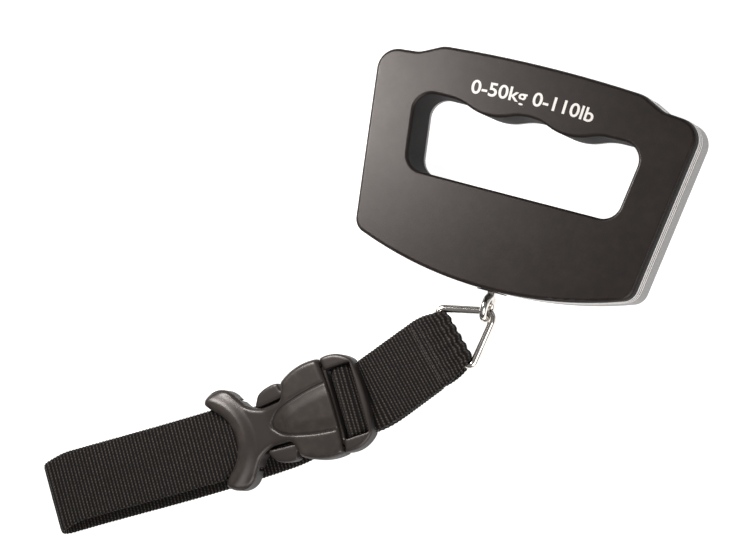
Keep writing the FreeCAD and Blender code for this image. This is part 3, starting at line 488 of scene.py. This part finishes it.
def evenSteps(path, gap):
    # the same path in equal steps
    lengths = [0.0]
    for start, stop in zip(path, path[1:]):
        lengths.append(lengths[-1] + (stop - start).length)
    count = max(2, round(lengths[-1] / gap))
    spots, seat = [], 0
    for step in range(count + 1):
        goal = lengths[-1] * step / count
        while seat < len(path) - 2 and lengths[seat + 1] < goal:
            seat += 1
        share = (goal - lengths[seat]) / max(lengths[seat + 1] - lengths[seat], 1e-9)
        spots.append(path[seat].lerp(path[seat + 1], min(max(share, 0), 1)))
    return spots, lengths[-1]


def ribbonMesh(name, corners, halfWidth, sideways, ruffle=None):
    # a closed strap of webbing along a path, with its ribs counted in the weave map
    gap = webbing["ribPitch"] / webbing["ribSteps"]
    spots, length = evenSteps(roundPath(corners), gap)
    half = webbing["depth"] / 2
    columns = webbing["across"]
    across = [2 * step / columns - 1 for step in range(columns + 1)]
    ring = [(share, 1) for share in across] + [(share, -1) for share in reversed(across)]
    vertices, weave = [], []
    for index, spot in enumerate(spots):
        before = spots[max(index - 1, 0)]
        after = spots[min(index + 1, len(spots) - 1)]
        tangent = (after - before).normalized()
        normal = Vector((-tangent.y, tangent.x))
        travelled = length * index / (len(spots) - 1)
        wide = halfWidth(spot.x, travelled)
        shift = sideways(spot.x, travelled)
        lift = ruffle(spot.x, travelled) if ruffle else 0
        for share, face in ring:
            side = share * wide
            edge = abs(side) > wide - webbing["edge"]
            offset = half * face * (webbing["edgeThin"] if edge else 1)
            offset += lift * math.sin(math.pi * webbing["ruffleCount"] * share
                                      + webbing["rufflePhase"])
            place = spot + normal * offset
            if ruffle and place.x < webbing["scallopEnd"]:
                wave = math.sin(webbing["scallopTurn"] * share + webbing["scallopSlip"] * face)
                place.x -= webbing["scallop"] * (0.5 + 0.5 * wave)
            vertices.append(onPlan(place.x, side + shift, place.y))
            weave.append((travelled / webbing["ribPitch"], side / mm))
    size = len(ring)
    faces = []
    for row in range(len(spots) - 1):
        for column in range(size):
            near, far = row * size + column, row * size + (column + 1) % size
            faces.append((near, far, far + size, near + size))
    faces.append(tuple(reversed(range(size))))
    faces.append(tuple(range((len(spots) - 1) * size, len(spots) * size)))
    mesh = meshOf(name, vertices, faces)
    layer = mesh.uv_layers.new(name="weave")
    for loop in mesh.loops:
        layer.data[loop.index].uv = weave[loop.vertex_index]
    solid = bmesh.new()
    solid.from_mesh(mesh)
    bmesh.ops.triangulate(solid, faces=[face for face in solid.faces if len(face.verts) > 4])
    bmesh.ops.recalc_face_normals(solid, faces=solid.faces)
    solid.to_mesh(mesh)
    solid.free()
    mesh.polygons.foreach_set("use_smooth", [True] * len(mesh.polygons))
    return mesh


ribInputs = {"Rib Height": ("Float", webbing["ribHeight"]),
             "Unevenness": ("Float", webbing["unevenness"])}


def ribTree():
    # raises a rib at each whole number of the weave map, a little unevenly
    graph, given = growTree("webbingRibs", ribInputs)
    weave = graph.node("GeometryNodeInputNamedAttribute", {"data_type": "FLOAT_VECTOR"},
                       {"Name": "weave"})
    ribs = graph.node("ShaderNodeSeparateXYZ", None, {0: weave}, "X")
    crest = (ribs * math.tau).maths("COSINE")
    where = graph.node("GeometryNodeInputPosition")
    uneven = graph.noise(where, webbing["unevenScale"]) - 0.5
    height = given.also("Rib Height") * (crest + uneven * given.also("Unevenness"))
    normal = graph.node("GeometryNodeInputNormal")
    offset = graph.node("ShaderNodeVectorMath", {"operation": "SCALE"},
                        {"Vector": normal, "Scale": height})
    moved = graph.node("GeometryNodeSetPosition", None,
                       {"Geometry": given.also("Geometry"), "Offset": offset})
    endTree(graph, moved, finishes["webbing"])
    return graph


webbingRibs = ribTree()


def ribbedRibbon(name, corners, halfWidth, sideways, ruffle=None):
    plain = ribbonMesh(name, corners, halfWidth, sideways, ruffle)
    return runTree(webbingRibs, plain, ribInputs, name)


def fullWidth(run, travelled):
    return webbing["width"] / 2


def gathered(run, travelled):
    # narrow round the bar, full width a little further on
    slack = ease(run, *webbing["gatherRun"]) ** webbing["gatherPower"]
    return webbing["neck"] / 2 + (webbing["width"] - webbing["neck"]) / 2 * slack


def centred(run, travelled):
    return 0.0


def ruffled(run, travelled):
    begun = ease(run, webbing["ruffleStart"], 0)
    return webbing["ruffle"] * (1 - ease(run, *webbing["ruffleFade"])) * begun


# paths of the webbing's centre line, as (run, level, corner radius) in millimetres
level, buckleTop, far = ringLevel, buckleLevel, webbing["reach"] / mm
wrap, ply = webbing["wrap"] / mm, webbing["ply"] / mm
upperPath = [
    (12, level - ply, 0), (5, level - wrap, 4), (-wrap, level - wrap, 2.31),
    (-wrap, level + wrap, 2.31), (5, level + wrap, 4), (12, level + ply, 4),
    (34, buckleTop - 1.6, 6), (far + 2.9, buckleTop - 1.6, 1.2),
    (far + 5.9, buckleTop + 1.75, 1.2), (far + 9.6, buckleTop + 1.75, 1.2),
    (far + 11.6, buckleTop - 0.7, 1.2), (far + 10.8, buckleTop - 3.2, 1.2),
    (34, buckleTop - 3.2, 6), (12.05, level - ply, 0),
]
lowerLevel = webbing["depth"] / 2 / mm
foldEnd = far + webbing["loopReach"] / mm  # the loop's fold, farthest from the ring
lowerPath = [(13.2, level - 2.5, 0), (34, lowerLevel, 8), (60, lowerLevel, 0),
             (foldEnd - 7.9, lowerLevel, 0)]
loopPath = [
    (foldEnd - 7.9, lowerLevel, 0), (foldEnd - 0.7, lowerLevel, 3.74), (foldEnd - 0.7, 8.2, 3.74),
    (far + 76, 8.2, 8), (far + 58, 7.1, 8), (far + 50.7, 7.1, 2.29), (far + 50.7, 2.5, 2.29),
    (far + 53.5, 2.5, 2), (far + 60, 5.75, 4), (far + 72, 6.35, 0),
]


def loopLean(run):
    # from the buckle to the fold the loop leans more and more to one side
    return -webbing["lean"] * ease(run, *webbing["leanRun"])


def lowerShift(run, travelled):
    return webbing["skew"] * ease(run, *webbing["skewRun"]) + loopLean(run)


def loopShift(run, travelled):
    return webbing["skew"] * (1 - ease(travelled, *webbing["skewBack"])) + loopLean(run)


settle("webbingUpperCloth",
       ribbedRibbon("webbingUpperCloth", upperPath, gathered, centred, ruffled),
       "strap", ("webbing_upper",))
settle("webbingLoopCloth",
       ribbedRibbon("webbingLoopCloth", loopPath, fullWidth, loopShift),
       "loop", ("webbing_loop",))
lowerStrap = linked("webbingLowerCloth",
                    ribbedRibbon("webbingLowerCloth", lowerPath, fullWidth, lowerShift))
onPlan(webbing["blendStart"], 0, lowerLevel * mm)
onPlan(foldEnd * mm - webbing["blendShort"], 0, lowerLevel * mm)
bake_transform(lowerStrap)
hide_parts("webbing_lower")
print("webbing")


buckle = {"voxel": 0.34 * mm, "weld": 0.004 * mm, "softRounds": 5, "armRounds": 22,
          "armRoom": 0.25 * mm, "skinDepth": 2.5 * mm}
socket = {
    "lipWidth": 6.5 * mm, "endPlace": 54.9 * mm, "endRadius": 16 * mm,
    "waistDip": 1.5 * mm, "waistRun": (30 * mm, 42 * mm), "dipFade": (0.9 * mm, 2.6 * mm),
    "fieldSunk": (0.25 * mm, 0.9 * mm), "fieldMargin": 0.3 * mm,
    "grooveShadeFade": (0.45 * mm, 0.95 * mm), "shieldRise": 0.6 * mm, "riseRun": (0.5 * mm, 1.2 * mm),
    "shieldCrown": 0.45 * mm, "crownRun": (0.8 * mm, 6 * mm),
}
# the shield's outline: run, half width and how far the edge bows on the way to the next
shieldStages = [(8 * mm, 10 * mm, 1.1 * mm), (34 * mm, 5.8 * mm, 0.5 * mm),
                (38.8 * mm, 2.2 * mm, 0), (39.6 * mm, 0, 0)]


def alongBuckle(place):
    # a place on the buckle as (run from the buckle's near end, side)
    gap = place - buckleStart
    return gap.dot(buckleLine[1]), gap.dot(buckleLine[2])


def socketDip(run, side):
    # how far the top sinks behind the rolled lip at the loop end, into a dished waist
    centre = socket["endPlace"] + socket["endRadius"]
    toEnd = math.hypot(run - centre, side) - socket["endRadius"]
    lip = 1 - ease(toEnd, socket["lipWidth"] * 0.5, socket["lipWidth"] * 1.25)
    return socket["waistDip"] * ease(run, *socket["waistRun"]) * (1 - lip)


def insideShield(run, side):
    # how far inside the shield's outline a place is; beyond its ends, a metre outside
    for (start, first, bow), (stop, last, _) in zip(shieldStages, shieldStages[1:]):
        if start <= run < stop:
            share = (run - start) / (stop - start)
            half = first + (last - first) * share + bow * 4 * share * (1 - share)
            slope = (first - last) / (stop - start)
            return min((half - abs(side)) / math.hypot(1, slope), shieldStages[-1][0] - run)
    return -1.0


def moulded(node, name, rounds, room=0.0):
    # a copy of a carried piece with even faces, its top skin's edges softened in some rounds,
    # drawn in by the room
    solid = bmesh.new()
    solid.from_mesh(nodes[node].data)
    bmesh.ops.remove_doubles(solid, verts=solid.verts, dist=buckle["weld"])
    mesh = bpy.data.meshes.new(name)
    solid.to_mesh(mesh)
    solid.free()
    holder = linked(name + "Seed", mesh)
    even = holder.modifiers.new("evenFaces", "REMESH")
    even.mode = "VOXEL"
    even.voxel_size = buckle["voxel"]
    made = plainMesh(holder, name)
    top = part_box(node)[1].z
    solid = bmesh.new()
    solid.from_mesh(made)
    skin = [vertex for vertex in solid.verts if vertex.co.z > top - buckle["skinDepth"]]
    for smoothed in [solid.verts[:]] + [skin] * rounds:
        bmesh.ops.smooth_vert(solid, verts=smoothed, factor=0.5, use_axis_x=True, use_axis_y=True,
                              use_axis_z=True)
    solid.normal_update()
    for vertex in solid.verts:
        vertex.co -= vertex.normal * room
    solid.to_mesh(made)
    solid.free()
    made.materials.clear()
    made.materials.append(finishes["buckle_plastic"])
    made.polygons.foreach_set("use_smooth", [True] * len(made.polygons))
    return made


def mouldedSocket():
    # the socket's waist is dished, its sunk shield is raised and crowned, and the groove left
    # round the shield is marked for painted shade
    made = moulded("buckle_female", "buckleSocket", buckle["softRounds"] - 1)
    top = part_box("buckle_female")[1].z
    grooveShadeLayer = made.attributes.new("grooveShade", "FLOAT", "POINT")
    for vertex in made.vertices:
        run, side = alongBuckle(vertex.co)
        sunk = top - vertex.co.z
        inside = insideShield(run, side)
        shallow, deep = socket["fieldSunk"]
        if inside > -socket["fieldMargin"] and shallow < sunk < deep:
            # painted shade: the groove round the shield is marked, so the buckle's material paints
            # it darker
            grooveShadeLayer.data[vertex.index].value = 1 - ease(inside, *socket["grooveShadeFade"])
            vertex.co.z += (socket["shieldRise"] * ease(inside, *socket["riseRun"])
                            + socket["shieldCrown"] * ease(inside, *socket["crownRun"]))
        vertex.co.z -= socketDip(run, side) * (1 - ease(sunk, *socket["dipFade"]))
    made.update()
    return made


settle("buckleSocket", mouldedSocket(), "loop", ("buckle_female",))
settle("buckleFrame", moulded("buckle_male", "buckleFrame", buckle["softRounds"]), "strap",
       ("buckle_male",))
for name, body in (("buckleLeftArm", "arm_left"), ("buckleRightArm", "arm_right")):
    settle(name, moulded("buckle_" + body, name, buckle["armRounds"], buckle["armRoom"]), body,
           ("buckle_" + body,))
print("buckle")

stitching = {"length": 2.4 * mm, "thick": 0.32 * mm, "rows": (8.5, 11.5), "plies": (5, 12),
             "margin": 1.6 * mm, "proud": 0.05 * mm, "steps": 24, "perStitch": 8,
             "sunk": 0.45, "rise": 1.6, "sides": 6}
stitchInputs = {"Stitch Pitch": ("Float", stitching["length"]),
                "Thread Radius": ("Float", stitching["thick"] / 2)}


def stitchTree():
    # a thread that dips into the cloth once for each stitch of the seam
    graph, given = growTree("seamStitches", stitchInputs)
    seam = graph.node("GeometryNodeMeshToCurve", None, {"Mesh": given.also("Geometry")})
    pitch = given.also("Stitch Pitch")
    fine = graph.node("GeometryNodeResampleCurve", {"mode": "LENGTH"},
                      {"Curve": seam, "Length": pitch / stitching["perStitch"]})
    travelled = graph.node("GeometryNodeSplineParameter", None, None, "Length")
    arch = (travelled / pitch * math.pi).maths("SINE").maths("ABSOLUTE")
    rise = (arch - stitching["sunk"]) * given.also("Thread Radius") * stitching["rise"]
    lift = graph.node("ShaderNodeCombineXYZ", None, {"Z": rise})
    moved = graph.node("GeometryNodeSetPosition", None, {"Geometry": fine, "Offset": lift})
    profile = graph.node("GeometryNodeCurvePrimitiveCircle", None,
                         {"Resolution": stitching["sides"], "Radius": given.also("Thread Radius")})
    tube = graph.node("GeometryNodeCurveToMesh", None,
                      {"Curve": moved, "Profile Curve": profile, "Fill Caps": True})
    endTree(graph, tube, thread)
    return graph


def seamLines():
    # two rows across the strap next to the ring, on its upper ply
    corners, edges = [], []
    apart, together = stitching["plies"]
    for run in stitching["rows"]:
        share = (run - apart) / (together - apart)
        centre = (level + wrap + (ply - wrap) * share) * mm
        height = centre + webbing["depth"] / 2 + stitching["proud"]
        half = gathered(run * mm, 0) - stitching["margin"]
        for step in range(stitching["steps"] + 1):
            if step:
                edges.append((len(corners) - 1, len(corners)))
            side = half * (2 * step / stitching["steps"] - 1)
            corners.append(onPlan(run * mm, side, height))
    return meshOf("seamLines", corners, [], edges)


settle("ringSeamStitches", runTree(stitchTree(), seamLines(), stitchInputs, "ringSeamStitches"),
       "strap")
print("stitches")


beads = {"count": 3, "pitch": 2.4 * mm, "radius": 0.85 * mm, "flat": 0.28, "sunk": 0.13 * mm,
         "sides": 8, "weld": 0.005 * mm}
beadInputs = {"Bead Count": ("Int", beads["count"]), "Bead Pitch": ("Float", beads["pitch"]),
              "Bead Radius": ("Float", beads["radius"]), "Flatness": ("Float", beads["flat"])}


def outlineOf(node, height, inwards):
    # the outer edge of a node at one height, as a loop of points drawn inwards
    solid = bmesh.new()
    solid.from_mesh(nodes[node].data)
    bmesh.ops.remove_doubles(solid, verts=solid.verts, dist=beads["weld"])
    cut = bmesh.ops.bisect_plane(solid, geom=solid.verts[:] + solid.edges[:] + solid.faces[:],
                                 plane_co=(0, 0, height), plane_no=(0, 0, 1),
                                 clear_inner=True, clear_outer=True)
    edges = [item for item in cut["geom_cut"] if isinstance(item, bmesh.types.BMEdge)]
    links = {}
    for edge in edges:
        for one, other in (edge.verts, reversed(edge.verts)):
            links.setdefault(one, []).append(other)
    loops, seen = [], set()
    for start in links:
        if start in seen:
            continue
        loop, spot = [], start
        while spot is not None:
            seen.add(spot)
            loop.append(spot.co.copy())
            spot = next((near for near in links[spot] if near not in seen), None)
        loops.append(loop)
    solid.free()
    loop = max(loops, key=lambda found: (max(near.x for near in found)
                                         - min(near.x for near in found)))
    middle = sum(loop, Vector()) / len(loop)
    for spot in loop:
        outwards = (spot - middle).normalized()
        spot -= outwards * inwards
    return loop


def beadTree():
    # one low bead follows the edge, and copies of it are stacked up the band
    graph, given = growTree("bandBeads", beadInputs)
    edge = graph.node("GeometryNodeMeshToCurve", None, {"Mesh": given.also("Geometry")})
    profile = graph.node("GeometryNodeCurvePrimitiveCircle", None,
                         {"Resolution": beads["sides"], "Radius": given.also("Bead Radius")})
    squeeze = graph.node("ShaderNodeCombineXYZ", None,
                         {"X": given.also("Flatness"), "Y": 1, "Z": 1})
    flat = graph.node("GeometryNodeTransform", None, {"Geometry": profile, "Scale": squeeze})
    upright = graph.node("GeometryNodeSetCurveNormal", {"mode": "Z_UP"}, {"Curve": edge})
    bead = graph.node("GeometryNodeCurveToMesh", None, {"Curve": upright, "Profile Curve": flat})
    smooth = graph.node("GeometryNodeSetShadeSmooth", None, {"Geometry": bead})
    step = graph.node("ShaderNodeCombineXYZ", None, {"Z": given.also("Bead Pitch")})
    stack = graph.node("GeometryNodeMeshLine", None,
                       {"Count": given.also("Bead Count"), "Offset": step})
    copies = graph.node("GeometryNodeInstanceOnPoints", None,
                        {"Points": stack, "Instance": smooth})
    endTree(graph, copies, beadSilver)
    return graph


def bandBeads():
    low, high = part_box("trim_band")
    spread = beads["pitch"] * (beads["count"] - 1)
    first = (low.z + high.z - spread) / 2
    loop = outlineOf("trim_band", first, beads["sunk"])
    count = len(loop)
    edges = [(step, (step + 1) % count) for step in range(count)]
    return runTree(beadTree(), meshOf("bandEdge", loop, [], edges), beadInputs, "bandBeads")


settle("bandBeads", bandBeads(), "housing")
print("band beads")


printThick = 0.015 * mm


def letters(name, text, size, place, material, underside=False, arc=0.0, spread=1.0,
            weight=0.008):
    # flat printed letters; an arc, given as a radius, bends their line
    curve = bpy.data.curves.new(name, "FONT")
    curve.body = text
    curve.size = size
    curve.align_x = "CENTER"
    curve.align_y = "CENTER"
    curve.extrude = printThick
    curve.offset = weight * size
    curve.resolution_u = 4
    holder = linked(name + "Type", curve)
    bpy.context.view_layer.update()
    mesh = bpy.data.meshes.new_from_object(holder)
    mesh.name = name
    bpy.data.objects.remove(holder)
    for vertex in mesh.vertices:
        flat = vertex.co
        flat.x *= spread
        if arc:
            angle = flat.x / arc
            reach = arc + flat.y
            flat.x = reach * math.sin(angle)
            flat.y = reach * math.cos(angle) - arc
        if underside:
            flat.x, flat.z = -flat.x, -flat.z
        vertex.co = flat + Vector(place)
    mesh.materials.clear()
    mesh.materials.append(material)
    return mesh


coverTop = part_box("front_cover")[1].z
crown = {"text": "0-50kg 0-110lb", "size": 7.3 * mm, "place": (-0.5 * mm, 67.4 * mm, coverTop),
         "arc": 300 * mm, "spread": 1.12, "weight": 0.015}
settle("crownPrint",
       letters("crownPrint", crown["text"], crown["size"], crown["place"], whiteInk,
               arc=crown["arc"], spread=crown["spread"], weight=crown["weight"]),
       "housing")

panel = {"recess": 0.5 * mm, "labelSize": 2.6 * mm, "labelShift": 6.3 * mm, "proud": 0.012 * mm}
for keyNode, label in (("unit_button", "UNIT"), ("power_button", "ON/TARE")):
    low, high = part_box(keyNode)
    middle = (low + high) / 2
    place = (middle.x, middle.y + panel["labelShift"], panel["recess"] - panel["proud"])
    settle(keyNode.replace("_button", "Label"),
           letters(keyNode + "Type", label, panel["labelSize"], place, whiteInk, underside=True),
           "housing")

display = {"digitWidth": 4.6 * mm, "digitHeight": 9.2 * mm, "stroke": 1.0 * mm, "gap": 0.18 * mm,
           "pitch": 6.6 * mm, "lean": 0.10, "reading": "0.00", "shift": -3 * mm, "point": 0.9,
           "proud": 0.02 * mm, "unit": "kg", "unitSize": 4.2 * mm,
           "unitShift": (-12.5 * mm, -2.2 * mm)}
segmentMap = {"0": "abcdef", "1": "bc", "2": "abged", "3": "abgcd", "4": "fgbc", "5": "afgcd",
              "6": "afgedc", "7": "abc", "8": "abcdefg", "9": "abcdfg"}

# each bar of a digit as (across, up, is upright), in half widths and half heights
segmentBars = {"a": (0, 1, False), "b": (1, 0.5, True), "c": (1, -0.5, True), "d": (0, -1, False),
               "e": (-1, -0.5, True), "f": (-1, 0.5, True), "g": (0, 0, False)}
glassLow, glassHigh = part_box("lcd_glass")
glassMiddle = (glassLow + glassHigh) / 2
glassFace = glassLow.z - display["proud"]


def displayDigits():
    # seven-segment digits as thin slabs on the glass, seen from below
    halfWide = (display["digitWidth"] - display["stroke"]) / 2
    halfHigh = (display["digitHeight"] - display["stroke"]) / 2
    stroke = display["stroke"] / 2
    digits = bmesh.new()

    def bar(across, up, upright, start):
        half = (halfHigh / 2 if upright else halfWide) - display["gap"]
        shape = [(-half, 0), (-half + stroke, stroke), (half - stroke, stroke), (half, 0),
                 (half - stroke, -stroke), (-half + stroke, -stroke)]
        corners = []
        for one, other in shape:
            right, rise = (other, one) if upright else (one, other)
            right += start + across * halfWide
            rise += up * halfHigh
            right += rise * display["lean"]
            corners.append(digits.verts.new((glassMiddle.x - right, glassMiddle.y + rise,
                                             glassFace)))
        digits.faces.new(corners)

    shown = [letter for letter in display["reading"] if letter != "."]
    first = -display["pitch"] * (len(shown) - 1) / 2 + display["shift"]
    for place, letter in enumerate(shown):
        for name in segmentMap[letter]:
            bar(*segmentBars[name], first + place * display["pitch"])
    point = first + display["pitch"] * (display["reading"].index(".") - 0.5)
    half = stroke * display["point"]
    spot = [digits.verts.new((glassMiddle.x - point - half * one,
                              glassMiddle.y - halfHigh + half * other, glassFace))
            for one, other in ((-1, -1), (1, -1), (1, 1), (-1, 1))]
    digits.faces.new(spot)
    slab = bmesh.ops.extrude_face_region(digits, geom=digits.faces[:])
    for item in slab["geom"]:
        if isinstance(item, bmesh.types.BMVert):
            item.co.z += printThick
    bmesh.ops.recalc_face_normals(digits, faces=digits.faces)
    mesh = bpy.data.meshes.new("displayDigits")
    digits.to_mesh(mesh)
    digits.free()
    mesh.materials.append(segmentInk)
    return mesh


settle("displayDigits", displayDigits(), "housing")
unitPlace = (glassMiddle.x + display["unitShift"][0], glassMiddle.y + display["unitShift"][1],
             glassFace)
settle("displayUnit", letters("displayUnit", display["unit"], display["unitSize"], unitPlace,
                              segmentInk, underside=True), "housing")
print("printing and display")


studio = {"lampTone": (1.0, 0.93, 0.89), "floorTone": (0.40, 0.40, 0.40), "floorGlow": 0.96,
          "floorReach": 4, "floorLevel": -0.3 * mm,
          "world": 0.20, "skyLow": (0.20, 0.20, 0.21), "skyHigh": (1.0, 1.0, 1.0)}
lamps = {"keyLight": {"power": 0.92, "size": 0.10, "place": (-0.18, 0.065, 0.22),
                      "aim": (-0.08, 0.06, 0.0)},
         "fillLight": {"power": 5.0, "size": 0.7, "place": (0.50, -0.40, 0.60), "aim": (0, 0, 0)}}
camera = {"lens": 157.42, "sensor": 36, "near": 0.05, "distance": 1200 * mm,
          "yaw": 19.61, "pitch": 0.30, "roll": 15.19,
          "shift": (55.0 * mm, -40.8 * mm), "target": (0, 42 * mm, 22 * mm)}


def makeFloor():
    reach, height = studio["floorReach"], studio["floorLevel"]
    corners = [(-reach, -reach, height), (reach, -reach, height), (reach, reach, height),
               (-reach, reach, height)]
    floor = linked("floor", meshOf("floor", corners, [(0, 1, 2, 3)]))
    made = Finish("paleFloor", Specular_IOR_Level=0.1, Emission_Color=(1, 1, 1, 1),
                  Emission_Strength=studio["floorGlow"])
    clouds = made.noise(made.place, 3.0)
    tone = studio["floorTone"]
    made.wear(Base_Color=made.mix(clouds, tone, [0.985 * part for part in tone]),
              Roughness=0.9 - clouds * 0.02)
    floor.data.materials.append(made.material)


def areaLight(name, power, size, place, aim):
    lamp = bpy.data.lights.new(name, "AREA")
    lamp.energy = power
    lamp.size = size
    lamp.shape = "DISK"
    lamp.color = studio["lampTone"]
    holder = linked(name, lamp)
    holder.location = place
    holder.rotation_euler = (Vector(aim) - Vector(place)).to_track_quat("-Z", "Y").to_euler()


def makeWorld():
    world = bpy.data.worlds.new("studio")
    world.use_nodes = True
    sky = Graph(world.node_tree)
    world.node_tree.nodes.clear()
    where = sky.node("ShaderNodeTexCoord", None, None, "Generated")
    height = sky.node("ShaderNodeSeparateXYZ", None, {0: where}, "Z")
    tone = sky.mix(height.between(0.0, 0.8), studio["skyLow"], studio["skyHigh"])
    glow = sky.node("ShaderNodeBackground", None, {"Color": tone, "Strength": studio["world"]})
    sheet = world.node_tree.nodes.new("ShaderNodeOutputWorld")
    world.node_tree.links.new(glow.socket, sheet.inputs[0])
    bpy.context.scene.world = world


def makeCamera():
    # turned about the object: yaw, then pitch, then roll in the picture
    yaw, pitch, roll = (math.radians(camera[turn]) for turn in ("yaw", "pitch", "roll"))
    turned = (Matrix.Rotation(roll, 3, "Z") @ Matrix.Rotation(pitch, 3, "X")
              @ Matrix.Rotation(yaw, 3, "Y")) @ Matrix.Diagonal((1, -1, -1))
    offset = Vector((*camera["shift"], camera["distance"]))
    place = -(turned.transposed() @ offset) + Vector(camera["target"])
    right, down, forward = turned[0], turned[1], turned[2]
    eye = bpy.data.cameras.new("camera")
    eye.lens = camera["lens"]
    eye.sensor_width = camera["sensor"]
    eye.clip_start = camera["near"]
    holder = linked("camera", eye)
    axes = Matrix((right, -down, -forward)).transposed().to_4x4()
    holder.matrix_world = Matrix.Translation(place) @ axes
    bpy.context.scene.camera = holder


makeFloor()
for name, lamp in lamps.items():
    areaLight(name, **lamp)
makeWorld()
makeCamera()
bpy.context.scene.view_settings.view_transform = "Standard"
print("floor, light and camera")
